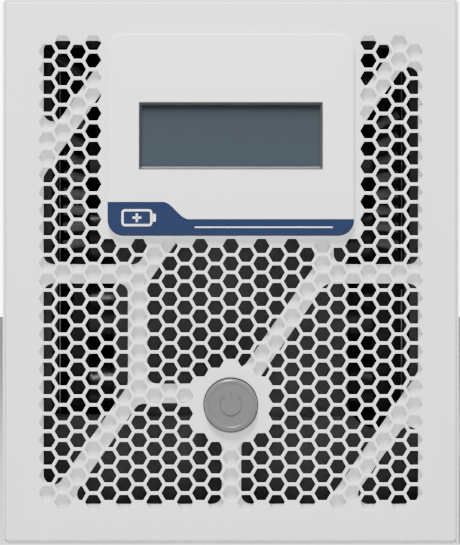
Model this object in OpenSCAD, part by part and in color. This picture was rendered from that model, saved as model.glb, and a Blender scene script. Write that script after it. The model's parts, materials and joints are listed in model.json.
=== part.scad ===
// Narrow battery module about 5 rack units tall: a sheet-steel case behind a white
// honeycomb grille with a small display and a round power button. Forty-eight
// cylindrical sodium-ion cells lie crosswise between two cell holders, and the
// management board, the fuse, two fans, the breaker and the sockets fill the rear.
// The origin is the middle of the footprint, on the surface the case stands on.
// +Z is up and the grille faces -Y. Depths are counted rearwards from the grille's face.

/* [Case] */
// Width of the case
case_w = 186; // [186:1:196]
// Height of the case
case_h = 222; // [222:1:230]
// Depth from the grille's face to the rear panel's face
case_d = 384; // [384:1:400]
// Thickness of the steel sheet
sheet_t = 1.0; // [0.8:0.1:1.2]

/* [Grille] */
// Distance between neighbouring honeycomb cells
cell_pitch = 7.2; // [7:0.1:7.2]
// Width of a honeycomb cell across its flats
cell_af = 6.0; // [5.4:0.1:6.0]
// Thickness of the grille's wall
grille_t = 2.6; // [2.2:0.1:2.6]
// Width of the ribs in the frame behind the grille
rib_w = 7.8; // [7:0.1:9]
// Thickness of the frame behind the grille
rib_t = 2.8; // [2:0.1:2.8]
// Slope of the diagonal ribs in degrees
rib_slope = 55; // [50:1:58]

/* [Display] */
// Width of the display plate
plate_w = 100.4; // [98:0.2:100.4]
// Height of the display plate
plate_h = 82.3; // [80:0.1:84]
// How far the display plate stands in front of the grille
plate_stand = 2.4; // [1.6:0.1:2.6]
// Width of the window frame
window_w = 75.1; // [72:0.1:76]
// Height of the window frame
window_h = 27.7; // [26:0.1:28]

/* [Power button] */
// Diameter of the button's cap
button_dia = 21.5; // [20:0.1:22]
// Height of the button's centre above the base
button_z = 56.6; // [56:0.1:57]
// How far the cap stands in front of the grille
button_stand = 3.0; // [2.8:0.1:3.2]
// How far the cap can be pressed
button_travel = 1.6; // [1:0.1:1.8]

/* [Cell pack] */
// Diameter of one battery cell over its sleeve
batt_dia = 33.2; // [32:0.1:33.2]
// Length of one battery cell
batt_len = 140; // [136:1:140]
// Distance between neighbouring cells
batt_pitch = 34; // [34:0.1:34.2]

/* [Rear] */
// Diameter of the fan's rotor
rotor_dia = 55.6; // [52:0.2:56]
// How far the power connector stands behind the rear panel
connector_stand = 14; // [14:0.5:18]
// Angle through which the breaker's lever swings
lever_swing = 40; // [30:1:40]

/* [Hidden] */
$fn = 48;
eps = 0.01;
front_y = -(button_stand + case_d + connector_stand) / 2 + button_stand;

// the sheet-steel case
inner_w = case_w - 2 * sheet_t;
rear_d = case_d - sheet_t;
bend_r = 2;
case_front = 1;
panel_depth = 14;
panel_fit = 0.1;
panel_w = inner_w - 2 * panel_fit;
panel_low = sheet_t + panel_fit;
panel_high = case_h - sheet_t - panel_fit;
flange_h = 14;
side_flange_h = 18;
side_screw_depths = [40, case_d / 2, case_d - 24];
side_screw_z = 10;
rear_screw_x = 85;
rear_screw_z = [8, case_h / 2, case_h - 8];
floor_bolt_x = 84;
panel_screw_x = 70;
panel_screw_low = 8.2;
panel_screw_high = case_h - 8;

// the honeycomb's lattice and the opening in the frame behind it
column_step = cell_pitch * sqrt(3) / 2;
column_reach = 12;
rows_below = 5;
rows_above = 20;
field_w = 153.2;
field_low = 16;
field_high = 205.4;
field_corner = 4;
blank_reach = 2.2 * cell_pitch;
mid_rib_x = 38.1;
mid_rib_z = 110.1;

// the display plate and what sits behind its window
plate_low = 125.5;
plate_corner = 6.5;
plate_z = plate_low + plate_h / 2;
window_z = 166.25;
window_rim = 1.3;
lcd_hole_x = 46.5;
lcd_hole_z = 27.5;
lcd_board_d = 8;
board_t = 1.6;
film_t = 0.25;
band_low_edge = 132.4;
band_high_edge = 139.4;

// the power button and its switch
button_r = button_dia / 2;
fit_gap = 0.05;
ring_gap = 0.45;
sleeve_r = 14;
sleeve_end = 12;
flange_seat = 7.2;
switch_board_d = 19;
plunger_end = 12;

// the inner bulkhead
bulkhead_t = 1.5;
bulkhead_d = 36;
step_d = 28;
step_z = 49;
slot_in = 49;
slot_out = 75;
slot_top = 205;
slot_low_left = 51;
slot_low_right = 45.6;
bulkhead_half = inner_w / 2 - 1.3;
foot_screw_x = 60;
foot_screw_d = step_d + 7;
lead_hole = [-82, 206];
switch_hole = [10, 62];

// the cell pack
cell_rows = 6;
cell_columns = 8;
pack_low = 5;
holder_edge = 2.5;
pack_front = 46;
pack_rear = pack_front + cell_columns * batt_pitch + 6;
holder_h = cell_rows * batt_pitch + 2 * holder_edge;
holder_t = 12;
holder_lip = 2;
fan_out_z = 137;
holder_in = batt_len / 2 + holder_lip - holder_t;
holder_out = batt_len / 2 + holder_lip;
busbar_t = 1;
sheet_out = holder_out + busbar_t + 0.4;
rod_columns = [1, 4, 7];
rod_rows = [1, 5];
rod_r = 2.5;
bracket_columns = [2, 6];
bracket_z = 11;
bracket_in = sheet_out + 1;

// the rear compartment
tray_d = pack_rear + 5;
tray_t = 1.5;
bms_x = 24;
bms_w = 116;
bms_low = 22;
bms_h = 106;
bms_d = tray_d + tray_t + 6;
fan_size = 60;
fan_depth = 25.4;
fan_x = 42;
fan_z = 172;
fan_d = rear_d - fan_depth;
fan_hole = 25;
duct_r = rotor_dia / 2 + 0.7;
hub_r = 15;
blade_count = 7;
breaker_x = -62;
breaker_z = 92;
breaker_w = 38;
breaker_h = 50;
breaker_depth = 42;
lever_d = rear_d + 0.2;
barrel_r = 7.6;
socket_x = [8, 27];
socket_z = 108;
socket_w = 16;
socket_h = 13.6;
connector_x = 50;
connector_z = 66;
connector_w = 48;
connector_h = 26;
ear_screw_x = 21;
contact_x = 8.6;
stud_x = -70;
stud_z = 30;
stud_len = 13;
fuse_z = 152;

// wires: sides and rings of their tubes, and routes as short lists of turning points,
// each across, rearwards and up
wire_sides = 8;
rings_per_span = 4;
positive_route = [[-72.5, tray_d + 4.7, 187], [-72.5, tray_d + 13, 186],
                  [-62, tray_d + 15, 160], [-50, tray_d + 11.1, fuse_z],
                  [-38.3, tray_d + 11.1, fuse_z]];
negative_route = [[-72.5, tray_d + 4.3, 60], [-72.5, tray_d + 12, 58],
                  [-62, tray_d + 13, 38], [-46, tray_d + 12.3, 36],
                  [-28.2, tray_d + 12.3, 36]];
fused_route = [[38.3, tray_d + 11.1, fuse_z], [50, tray_d + 13, fuse_z - 2],
               [44, tray_d + 20, 136], [10, tray_d + 25, 134],
               [-24, tray_d + 24, 134], [-52, tray_d + 16, 124]];
output_route = [[-62, tray_d + 30, 62], [-40, tray_d + 34, 14],
                [38, tray_d + 34, 14], [38, tray_d + 30, 54]];
shunt_route = [[72.3, tray_d + 12.5, 36], [79, tray_d + 13.5, 36.5],
               [82, tray_d + 22, 44], [80, tray_d + 30, 62], [68, tray_d + 33.8, 66]];
display_route = [[-44, 12, 178], [-62, 14, 192], [-78, 20, 204], [-82, 30, 206],
                 [-82, 44, 206], [-82, 90, 206], [-82, tray_d - 20, 206],
                 [-82, tray_d + 8, 200], [-80, tray_d + 9, 160],
                 [-60, tray_d + 9, 136], [-38, tray_d + 11.5, 122],
                 [-22.8, tray_d + 13.3, 116]];
switch_route = [[10, switch_board_d + board_t + 0.2, 60], [10, 27, 61.8], [10, 34, 62],
                [10, 39.4, 62.3], [8, 41.6, 70], [-20, 41.2, 120], [-60, 41, 190],
                [-78, 41, 204]];

// ---- helpers ----

// a flat plate: a drawing in the X-Z plane given a thickness, starting at depth d
module plate(d, t) {
    translate([0, front_y + d + t, 0])
        rotate([90, 0, 0])
            linear_extrude(t) children();
}

// a rod or a hole along the depth
module along_depth(x, z, d, len, r) {
    translate([x, front_y + d, z])
        rotate([-90, 0, 0])
            cylinder(r = r, h = len);
}

// a rod or a hole along the width, starting at x
module along_width(x, d, z, len, r) {
    translate([x, front_y + d, z])
        rotate([0, 90, 0])
            cylinder(r = r, h = len);
}

// a box given by its ends across, in depth and in height
module block(x, d, z) {
    translate([x[0], front_y + d[0], z[0]])
        cube([x[1] - x[0], d[1] - d[0], z[1] - z[0]]);
}

module round_rect(w, h, r) {
    square([w - 2 * r, h], center = true);
    square([w, h - 2 * r], center = true);
    for (x = [-1, 1], z = [-1, 1])
        translate([x * (w / 2 - r), z * (h / 2 - r)]) circle(r = r);
}

module both_sides() {
    children();
    mirror([1, 0, 0]) children();
}

// a point on the smooth curve through a route, at a place counted in spans
function route_point(route, s) =
    let (last = len(route) - 1,
         i = min(floor(s), last - 1),
         t = s - i,
         p0 = route[max(i - 1, 0)], p1 = route[i],
         p2 = route[i + 1], p3 = route[min(i + 2, last)])
        p1 + t * (p2 - p0) / 2 + t * t * (p0 - 2.5 * p1 + 2 * p2 - p3 / 2)
           + t * t * t * (1.5 * (p1 - p2) + (p3 - p0) / 2);

function unit(v) = v / norm(v);

// the corners of the wire's ring round one of its middle points
function wire_ring(p, along, r) =
    let (across = unit(cross(along, [0.3, 0.2, 0.9])),
         up = cross(across, along))
        [for (k = [0 : wire_sides - 1])
            p + r * (across * cos(360 * k / wire_sides) + up * sin(360 * k / wire_sides))
              + [0, front_y, 0]];

// a wire that follows a smooth curve through all the points of a route
module wire(route, r) {
    spans = len(route) - 1;
    count = spans * rings_per_span;
    points = [for (i = [0 : count]) route_point(route, i / rings_per_span)];
    rings = [for (i = [0 : count])
        wire_ring(points[i], unit(points[min(i + 1, count)] - points[max(i - 1, 0)]), r)];
    sides = [for (i = [0 : count - 1], k = [0 : wire_sides - 1])
        let (a = i * wire_sides + k, b = i * wire_sides + (k + 1) % wire_sides)
            [a, b, b + wire_sides, a + wire_sides]];
    first_cap = [for (k = [wire_sides - 1 : -1 : 0]) k];
    last_cap = [for (k = [0 : wire_sides - 1]) count * wire_sides + k];
    polyhedron([for (ring = rings) each ring], concat(sides, [first_cap, last_cap]));
}

// a pan-head screw whose head's underside is at depth d, its shank running forwards
module screw_forward(x, z, d, shank_r, len, head_r, head_h) {
    along_depth(x, z, d - len, len + eps, shank_r);
    difference() {
        along_depth(x, z, d, head_h, head_r);
        block([x - head_r * 0.6, x + head_r * 0.6], [d + head_h * 0.5, d + head_h + 1],
              [z - 0.4, z + 0.4]);
        block([x - 0.4, x + 0.4], [d + head_h * 0.5, d + head_h + 1],
              [z - head_r * 0.6, z + head_r * 0.6]);
    }
}

// ---- case ----

module chassis_base() color("gainsboro") difference() {
    union() {
        block([-inner_w / 2, inner_w / 2], [case_front, rear_d], [0, sheet_t]);
        both_sides()
            block([inner_w / 2 - sheet_t, inner_w / 2], [panel_depth, rear_d],
                  [0, side_flange_h]);
        block([-inner_w / 2, inner_w / 2], [panel_depth, panel_depth + sheet_t],
              [0, flange_h + 1]);
        block([-inner_w / 2, inner_w / 2], [rear_d - sheet_t, rear_d], [0, flange_h]);
    }
    for (d = side_screw_depths) both_sides()
        along_width(inner_w / 2 - 3, d, side_screw_z, 4, 1.5);
    for (x = [-1, 1]) {
        along_depth(x * panel_screw_x, panel_screw_low, panel_depth - 1, 4, 1.6);
        along_depth(x * rear_screw_x, rear_screw_z[0], rear_d - 3, 4, 1.5);
    }
    for (x = [-1, 1], c = bracket_columns)
        translate([x * floor_bolt_x, front_y + cell_depth(c + 0.5), -1])
            cylinder(r = 2, h = 4);
}

// depth of the axis of a column of cells, counted from the front
function cell_depth(column) = pack_front + 3 + batt_pitch * (column - 0.5);

// height of the axis of a row of cells, counted from the bottom
function cell_height(row) = pack_low + holder_edge + batt_pitch * (row - 0.5);

module outer_cover() color("whitesmoke") difference() {
    union() {
        both_sides()
            block([inner_w / 2, case_w / 2], [case_front, case_d], [0, case_h - bend_r]);
        block([-case_w / 2 + bend_r, case_w / 2 - bend_r], [case_front, case_d],
              [case_h - sheet_t, case_h]);
        both_sides() translate([case_w / 2 - bend_r, front_y + case_front, case_h - bend_r])
            rotate([-90, 0, 0]) difference() {
                cylinder(r = bend_r, h = case_d - case_front);
                translate([0, 0, -1])
                    cylinder(r = bend_r - sheet_t, h = case_d - case_front + 2);
                translate([-3, 0, -1]) cube([6, 3, case_d + 2]);
                translate([-3, -3, -1]) cube([3, 6, case_d + 2]);
            }
        block([-inner_w / 2 + 1, inner_w / 2 - 1], [panel_depth, panel_depth + sheet_t],
              [field_high + 5, case_h - sheet_t]);
        block([-inner_w / 2 + 1, inner_w / 2 - 1], [rear_d - sheet_t, rear_d],
              [case_h - 14, case_h - sheet_t]);
        both_sides()
            block([inner_w / 2 - 10, inner_w / 2], [rear_d - sheet_t, rear_d],
                  [side_flange_h + 2, case_h - 2]);
    }
    for (d = side_screw_depths) both_sides() {
        along_width(inner_w / 2 - 1, d, side_screw_z, 4, 1.7);
        translate([inner_w / 2, front_y + d, side_screw_z]) rotate([0, 90, 0])
            cylinder(r1 = 1.7, r2 = 3.1, h = sheet_t + eps);
    }
    for (x = [-1, 1]) {
        along_depth(x * panel_screw_x, panel_screw_high, panel_depth - 1, 4, 1.6);
        for (i = [1, 2]) along_depth(x * rear_screw_x, rear_screw_z[i], rear_d - 3, 4, 1.5);
    }
    both_sides() for (row = [0 : 7])
        block([inner_w / 2 - 1, case_w / 2 + 1], [70, 110], [122 + row * 9.5, 126 + row * 9.5]);
}

module cover_screws() color("silver") for (d = side_screw_depths) both_sides() {
    along_width(inner_w / 2 - 6, d, side_screw_z, 6 + eps, 1.5);
    difference() {
        translate([inner_w / 2, front_y + d, side_screw_z]) rotate([0, 90, 0])
            cylinder(r1 = 1.6, r2 = 3, h = sheet_t);
        for (arm = [[1.8, 0.4], [0.4, 1.8]])
            block([case_w / 2 - 0.6, case_w / 2 + 1], [d - arm[0], d + arm[0]],
                  [side_screw_z - arm[1], side_screw_z + arm[1]]);
    }
}

module rear_panel() color("gainsboro") plate(rear_d, sheet_t) difference() {
    translate([0, case_h / 2]) round_rect(inner_w - 0.4, case_h - 2 * sheet_t - 0.6, 1);
    for (x = [-1, 1]) {
        for (z = rear_screw_z) translate([x * rear_screw_x, z]) circle(r = 1.8);
        translate([x * fan_x, fan_z]) {
            circle(r = duct_r);
            for (i = [-1, 1], j = [-1, 1]) translate([i * fan_hole, j * fan_hole])
                circle(r = 2.2);
        }
    }
    translate([breaker_x, breaker_z]) square([breaker_w - 6, breaker_h - 12], center = true);
    for (x = socket_x) translate([x, socket_z])
        square([socket_w + 0.4, socket_h + 0.4], center = true);
    translate([connector_x, connector_z])
        square([connector_w - 11.6, connector_h + 0.4], center = true);
    for (x = [-1, 1]) translate([connector_x + x * ear_screw_x, connector_z]) circle(r = 1.7);
    translate([stud_x, stud_z]) circle(r = 3);
    for (i = [0 : 9]) translate([4 + i * 8, stud_z]) round_rect(3.6, 20, 1.7);
}

module rear_screws() color("silver")
    for (x = [-1, 1], z = rear_screw_z)
        screw_forward(x * rear_screw_x, z, case_d, 1.5, 5, 3, 1.9);

// ---- grille and front ----

// centres of the honeycomb's cells, leaving out those under the display plate
// and round the button
function cell_x(k) = k * column_step;
function cell_z(k, i) = button_z + (i + (k % 2 == 0 ? 0 : 0.5)) * cell_pitch;
function is_open(k, i) =
    !(abs(k) <= 8 && cell_z(k, i) > plate_low - 2)
    && norm([cell_x(k), cell_z(k, i) - button_z]) > blank_reach;

module honeycomb() {
    for (k = [-column_reach : column_reach])
        for (i = [(k % 2 == 0 ? -rows_below : -rows_below - 1) : rows_above])
            if (is_open(k, i)) translate([cell_x(k), cell_z(k, i)])
                circle(r = cell_af / sqrt(3), $fn = 6);
}

module panel_outline(inset) {
    translate([0, (panel_low + panel_high) / 2])
        round_rect(panel_w - 2 * inset, panel_high - panel_low - 2 * inset, 1.2);
}

module front_panel() color("white") difference() {
    union() {
        plate(0, grille_t) difference() {
            panel_outline(0);
            honeycomb();
            translate([0, window_z]) square([window_w - 1, window_h - 1], center = true);
            translate([0, button_z]) circle(r = button_r + ring_gap);
        }
        plate(grille_t - eps, panel_depth - grille_t + eps) difference() {
            panel_outline(0);
            panel_outline(2.4);
        }
        for (x = [-1, 1]) {
            for (z = [panel_screw_low, panel_screw_high])
                along_depth(x * panel_screw_x, z, grille_t - eps,
                            panel_depth - grille_t + eps, 3.4);
            for (z = [-1, 1])
                along_depth(x * lcd_hole_x, window_z + z * lcd_hole_z, grille_t - eps,
                            lcd_board_d - grille_t + eps, 2.6);
        }
    }
    for (x = [-1, 1]) {
        for (z = [panel_screw_low, panel_screw_high])
            along_depth(x * panel_screw_x, z, 5, panel_depth, 1.25);
        for (z = [-1, 1])
            along_depth(x * lcd_hole_x, window_z + z * lcd_hole_z, 3.4, lcd_board_d, 1);
    }
}

// a straight rib through the point p
module rib(p, angle, len) {
    translate(p) rotate(angle) square([len, rib_w], center = true);
}

module rib_layout() {
    rib([-53.3, 190.1], rib_slope, 110);
    rib([59.4, 185.6], rib_slope, 80);
    rib([-25.7, 124.8], rib_slope, 46);
    rib([20.4, 86.8], rib_slope, 62);
    rib([-55.9, 38], rib_slope, 66);
    rib([67, 49.5], rib_slope, 100);
    rib([-58, mid_rib_z], 0, 46);
    rib([58, mid_rib_z], 0, 44);
    rib([-mid_rib_x, 85.5], 90, 57);
    rib([mid_rib_x, 125], 90, 38);
    rib([-20, 61.2], 0, 40);
    rib([0.3, 30], 90, 60);
    translate([0, button_z]) circle(r = sleeve_r + 1.6);
}

module backing_frame() color("white") plate(grille_t, rib_t) difference() {
    union() {
        difference() {
            translate([0, (field_low + field_high) / 2])
                round_rect(field_w + 24, field_high - field_low + 18, 3);
            offset(r = field_corner) offset(delta = -field_corner) difference() {
                translate([0, (field_low + field_high) / 2])
                    square([field_w, field_high - field_low], center = true);
                rib_layout();
            }
        }
        translate([0, plate_z]) square([plate_w + 3, plate_h - 2], center = true);
    }
    translate([0, window_z]) square([98.8, 60.8], center = true);
    translate([0, button_z]) circle(r = sleeve_r + 0.1);
    for (x = [-1, 1], z = [panel_screw_low, panel_screw_high])
        translate([x * panel_screw_x, z]) circle(r = 3.6);
}

module panel_screws() color("silver") {
    for (x = [-1, 1], z = [panel_screw_low, panel_screw_high])
        screw_forward(x * panel_screw_x, z, panel_depth + sheet_t, 1.25, 8, 2.8, 1.8);
}

module plate_outline() {
    translate([0, plate_z]) round_rect(plate_w, plate_h, plate_corner);
}

module display_plate() color("white") plate(-plate_stand, plate_stand) difference() {
    plate_outline();
    translate([0, window_z]) square([window_w, window_h], center = true);
}

// the printed band along the plate's lower edge: high at the left, then an easy
// double curve down to a lower edge that runs to the right
module band_region() {
    swing = (band_high_edge - band_low_edge) / 2;
    left_end = -27.6;
    right_end = -17;
    steps = 12;
    polygon(concat(
        [[-plate_w, plate_low - 1], [plate_w, plate_low - 1], [plate_w, band_low_edge]],
        [for (i = [0 : steps])
            [right_end + (left_end - right_end) * i / steps,
             band_low_edge + swing * (1 - cos(180 * i / steps))]],
        [[-plate_w, band_high_edge]]));
}

module display_band() color("darkslateblue") plate(-plate_stand - film_t, film_t)
    intersection() {
        plate_outline();
        band_region();
    }

module window_frame() color("dimgray") {
    plate(-plate_stand - 0.1, plate_stand + 1.3) difference() {
        translate([0, window_z]) square([window_w - 1.2, window_h - 1.2], center = true);
        translate([0, window_z])
            square([window_w - 2 * window_rim, window_h - 2 * window_rim], center = true);
    }
    plate(-plate_stand - 0.1, 1.4) difference() {
        translate([0, window_z]) square([window_w - 0.1, window_h - 0.1], center = true);
        translate([0, window_z])
            square([window_w - 2 * window_rim, window_h - 2 * window_rim], center = true);
    }
}

module window_lens() color("slategray") plate(-0.9, 1.5) translate([0, window_z])
    square([window_w - 2 * window_rim - 0.1, window_h - 2 * window_rim - 0.1], center = true);

module lcd_cell() color("darkslategray") difference() {
    block([-42, 42], [grille_t + 0.2, lcd_board_d], [window_z - 19, window_z + 19]);
    block([-38, 38], [grille_t, grille_t + 1.2], [window_z - 13.5, window_z + 13.5]);
}

module lcd_board() color("darkgreen") plate(lcd_board_d, board_t) difference() {
    translate([0, window_z]) square([98, 60], center = true);
    for (x = [-1, 1], z = [-1, 1])
        translate([x * lcd_hole_x, window_z + z * lcd_hole_z]) circle(r = 1.3);
}

module lcd_screws() color("silver") {
    for (x = [-1, 1], z = [-1, 1])
        screw_forward(x * lcd_hole_x, window_z + z * lcd_hole_z, lcd_board_d + board_t,
                      1, 5, 2, 1.3);
}

// ---- power button ----

module button_sleeve() color("black") difference() {
    union() {
        along_depth(0, button_z, grille_t, sleeve_end - grille_t, sleeve_r);
        for (x = [-1, 1]) along_depth(x * 11.5, button_z, sleeve_end - eps,
                                      switch_board_d - sleeve_end + eps, 2.4);
    }
    along_depth(0, button_z, 0, 20, button_r + fit_gap);
    along_depth(0, button_z, flange_seat, 20, 12.4);
    for (x = [-1, 1]) along_depth(x * 11.5, button_z, sleeve_end + 3, 10, 0.9);
    block([-8, 8], [sleeve_end, 30], [button_z - 9, button_z + 9]);
}

module power_button() color("gray") difference() {
    union() {
        along_depth(0, button_z, -button_stand, button_stand + flange_seat + 1.6, button_r);
        along_depth(0, button_z, flange_seat + fit_gap, 1.6 - fit_gap, button_r + 1.3);
    }
    along_depth(0, button_z, -button_stand + 2.2, 20, button_r - 1.8);
}

module switch_plunger() color("whitesmoke") union() {
    along_depth(0, button_z, -button_stand + 2.2, plunger_end + button_stand - 2.2, 3);
    along_depth(0, button_z, 6, 1.5, button_r - 1.9);
}

module button_switch() color("black") difference() {
    block([-6, 6], [11, switch_board_d], [button_z - 6, button_z + 6]);
    along_depth(0, button_z, 10, plunger_end - 10 + button_travel + 0.4, 3 + fit_gap);
}

module switch_board() color("darkgreen") plate(switch_board_d, board_t) difference() {
    translate([0, button_z]) round_rect(30, 18, 1);
    for (x = [-1, 1]) translate([x * 11.5, button_z]) circle(r = 1.1);
}

// ---- inner bulkhead ----

module air_slot(low, low_r, side) {
    mid = side * (slot_in + slot_out) / 2;
    wide = slot_out - slot_in;
    translate([mid, (low + low_r + slot_top) / 2])
        square([wide, slot_top - low - low_r], center = true);
    translate([mid, low + low_r + 5]) round_rect(wide, 2 * low_r + 10, low_r);
}

module inner_bulkhead() color("dimgray") difference() {
    union() {
        plate(bulkhead_d, bulkhead_t) difference() {
            translate([-bulkhead_half, step_z])
                square([2 * bulkhead_half, case_h - step_z - 2]);
            translate(lead_hole) circle(r = 5);
            translate(switch_hole) circle(r = 4);
        }
        block([-bulkhead_half, bulkhead_half], [step_d, bulkhead_d + eps],
              [step_z, step_z + bulkhead_t]);
        block([-bulkhead_half, bulkhead_half], [step_d, step_d + bulkhead_t],
              [sheet_t, step_z + bulkhead_t]);
        block([-bulkhead_half, bulkhead_half], [step_d, step_d + 12],
              [sheet_t, sheet_t + bulkhead_t]);
        both_sides() block([bulkhead_half - bulkhead_t, bulkhead_half],
                           [bulkhead_d, bulkhead_d + 8], [60, case_h - 4]);
    }
    plate(step_d - 1, bulkhead_d - step_d + bulkhead_t + 2) {
        air_slot(slot_low_left, 2, -1);
        air_slot(slot_low_right, 12, 1);
    }
    for (x = [-1, 1]) translate([x * foot_screw_x, front_y + foot_screw_d, 0])
        cylinder(r = 1.6, h = 6);
}

module bulkhead_screws() color("silver") for (x = [-1, 1])
    translate([x * foot_screw_x, front_y + foot_screw_d, sheet_t + bulkhead_t]) difference() {
        union() {
            translate([0, 0, -1.5]) cylinder(r = 1.5, h = 2);
            cylinder(r = 2.9, h = 1.9);
        }
        translate([-1.8, -0.4, 1.1]) cube([3.6, 0.8, 2]);
        translate([-0.4, -1.8, 1.1]) cube([0.8, 3.6, 2]);
    }

module lead_grommets() color("black") {
    for (p = [concat(lead_hole, 5), concat(switch_hole, 4)]) difference() {
        union() {
            along_depth(p[0], p[1], bulkhead_d - 1.5, bulkhead_t + 3, p[2]);
            along_depth(p[0], p[1], bulkhead_d - 1.5, 1.5, p[2] + 1.4);
            along_depth(p[0], p[1], bulkhead_d + bulkhead_t, 1.5, p[2] + 1.4);
        }
        along_depth(p[0], p[1], bulkhead_d - 3, 10, 2.6);
    }
}

// ---- cell pack ----

// one cell: a sleeved can with a groove near its positive end and a raised cap
module battery_cell(d, z, positive_side) {
    can_r = batt_dia / 2;
    translate([0, front_y + d, z]) rotate([0, positive_side * 90, 0]) {
        difference() {
            translate([0, 0, -batt_len / 2]) cylinder(r = can_r, h = batt_len - 0.8);
            translate([0, 0, batt_len / 2 - 13]) difference() {
                cylinder(r = can_r + 1, h = 2);
                translate([0, 0, -1]) cylinder(r = can_r - 0.8, h = 4);
            }
        }
        translate([0, 0, batt_len / 2 - 0.8 - eps]) cylinder(r = 9, h = 0.8 + eps);
    }
}

// three cells side by side in a column are one group, and the groups alternate
function group_side(row, column) =
    let (index = row <= 3 ? cell_columns - column : cell_columns + column - 1)
        index % 2 == 0 ? 1 : -1;

module cell_row(row) {
    for (column = [1 : cell_columns])
        battery_cell(cell_depth(column), cell_height(row), group_side(row, column));
}

module cell_row_1() color("steelblue") cell_row(1);
module cell_row_2() color("steelblue") cell_row(2);
module cell_row_3() color("steelblue") cell_row(3);
module cell_row_4() color("steelblue") cell_row(4);
module cell_row_5() color("steelblue") cell_row(5);
module cell_row_6() color("steelblue") cell_row(6);

// the right-hand holder; the left-hand one is its mirror image. Short ribs on its front
// edge spread like a fan and steer the air into the gap beside the cells
module cell_holder() difference() {
    union() {
        block([holder_in, holder_out], [pack_front, pack_rear],
              [pack_low, pack_low + holder_h]);
        for (i = [-2 : 5]) translate([0, front_y + pack_front + 0.4, fan_out_z])
            rotate([0, 90 - 6 * i, 0]) translate([0, 0, (holder_in + 1) / cos(6 * i)])
                rotate(90) cylinder(r = 2.2, h = (holder_t - 2.2) / cos(6 * i));
    }
    for (row = [1 : cell_rows], column = [1 : cell_columns]) {
        along_width(holder_in - 1, cell_depth(column), cell_height(row),
                    holder_t - holder_lip + 1, batt_dia / 2 + fit_gap);
        along_width(holder_in - 1, cell_depth(column), cell_height(row), holder_t + 2, 12.5);
    }
    rod_holes(rod_r + fit_gap);
    for (c = bracket_columns) along_width(holder_in - 1, cell_depth(c + 0.5), bracket_z, 20, 2);
}

module rod_holes(r) {
    for (c = rod_columns, row = rod_rows)
        along_width(holder_in - 1, cell_depth(c + 0.5), cell_height(row + 0.5), 20, r);
}

module cell_holder_right() color("black") cell_holder();
module cell_holder_left() color("black") mirror([1, 0, 0]) cell_holder();

// a busbar over the cells from one column and row to another, with a pad on each cell
module busbar(columns, rows) {
    margin = 11;
    block([holder_out, holder_out + busbar_t],
          [cell_depth(columns[0]) - margin, cell_depth(columns[1]) + margin],
          [cell_height(rows[0]) - margin, cell_height(rows[1]) + margin]);
    for (c = [columns[0] : columns[1]], r = [rows[0] : rows[1]])
        along_width(batt_len / 2, cell_depth(c), cell_height(r), holder_lip + eps, 8);
}

module busbars_right() color("silver") difference() {
    for (c = [1 : 2 : 7], rows = [[1, 3], [4, 6]]) busbar([c, c + 1], rows);
    rod_holes(5);
}

module busbars_left() color("silver") mirror([1, 0, 0]) difference() {
    union() {
        for (c = [2 : 2 : 6], rows = [[1, 3], [4, 6]]) busbar([c, c + 1], rows);
        busbar([1, 1], [1, 6]);
        for (rows = [[1, 3], [4, 6]]) busbar([8, 8], rows);
        for (z = [60, 187]) block([holder_out, holder_out + busbar_t],
                                  [pack_rear - 8, tray_d + 4], [z - 8, z + 8]);
    }
    rod_holes(5);
}

module insulating_sheets() color("ivory") both_sides() difference() {
    block([sheet_out, sheet_out + 0.8], [pack_front + 1, pack_rear - 1],
          [pack_low + 8, pack_low + holder_h - 1]);
    rod_holes(rod_r + 0.3);
}

module tie_rods() color("silver") for (c = rod_columns, row = rod_rows)
    along_width(-sheet_out - 5.6, cell_depth(c + 0.5), cell_height(row + 0.5),
                2 * sheet_out + 11.2, rod_r);

module tie_rod_nuts() color("silver") both_sides() for (c = rod_columns, row = rod_rows)
    translate([sheet_out + 0.8, front_y + cell_depth(c + 0.5), cell_height(row + 0.5)])
        rotate([0, 90, 0]) difference() {
            cylinder(r = 4.6, h = 4, $fn = 6);
            translate([0, 0, -1]) cylinder(r = rod_r, h = 6);
        }

module pack_brackets() color("silver") both_sides() for (c = bracket_columns) {
    mid = cell_depth(c + 0.5);
    difference() {
        union() {
            block([bracket_in, bracket_in + 1.5], [mid - 12, mid + 12], [sheet_t, 24]);
            block([bracket_in, inner_w / 2 - 3], [mid - 12, mid + 12],
                  [sheet_t, sheet_t + 1.5]);
        }
        along_width(bracket_in - 1, mid, bracket_z, 4, 2.2);
        translate([floor_bolt_x, front_y + mid, 0]) cylinder(r = 2.2, h = 5);
    }
}

module pack_bolts() color("silver") both_sides() for (c = bracket_columns) {
    mid = cell_depth(c + 0.5);
    along_width(holder_in + 1, mid, bracket_z, bracket_in + 1.5 - holder_in - 1 + eps, 2);
    translate([bracket_in + 1.5, front_y + mid, bracket_z]) rotate([0, 90, 0])
        cylinder(r = 3.8, h = 2.6, $fn = 6);
    translate([floor_bolt_x, front_y + mid, 0]) cylinder(r = 2, h = 8);
    translate([floor_bolt_x, front_y + mid, sheet_t + 1.5]) cylinder(r = 3.8, h = 3, $fn = 6);
}

// ---- rear compartment ----

module rear_tray() color("lightgray") difference() {
    union() {
        block([-86, 86], [tray_d, tray_d + tray_t], [sheet_t, 200]);
        block([-86, 86], [tray_d, tray_d + 9], [sheet_t, sheet_t + tray_t]);
    }
    for (z = [60, 187]) block([-78, -66], [tray_d - 1, tray_d + 5], [z - 10, z + 10]);
    for (i = [0 : 11], z = [140, 166]) block([-52 + i * 9, -48 + i * 9],
                                             [tray_d - 1, tray_d + 3], [z, z + 20]);
}

module bms_corner_marks() {
    for (x = [-1, 1], z = [-1, 1])
        translate([bms_x + x * (bms_w / 2 - 5), bms_low + bms_h / 2 + z * (bms_h / 2 - 5)])
            children();
}

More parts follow.
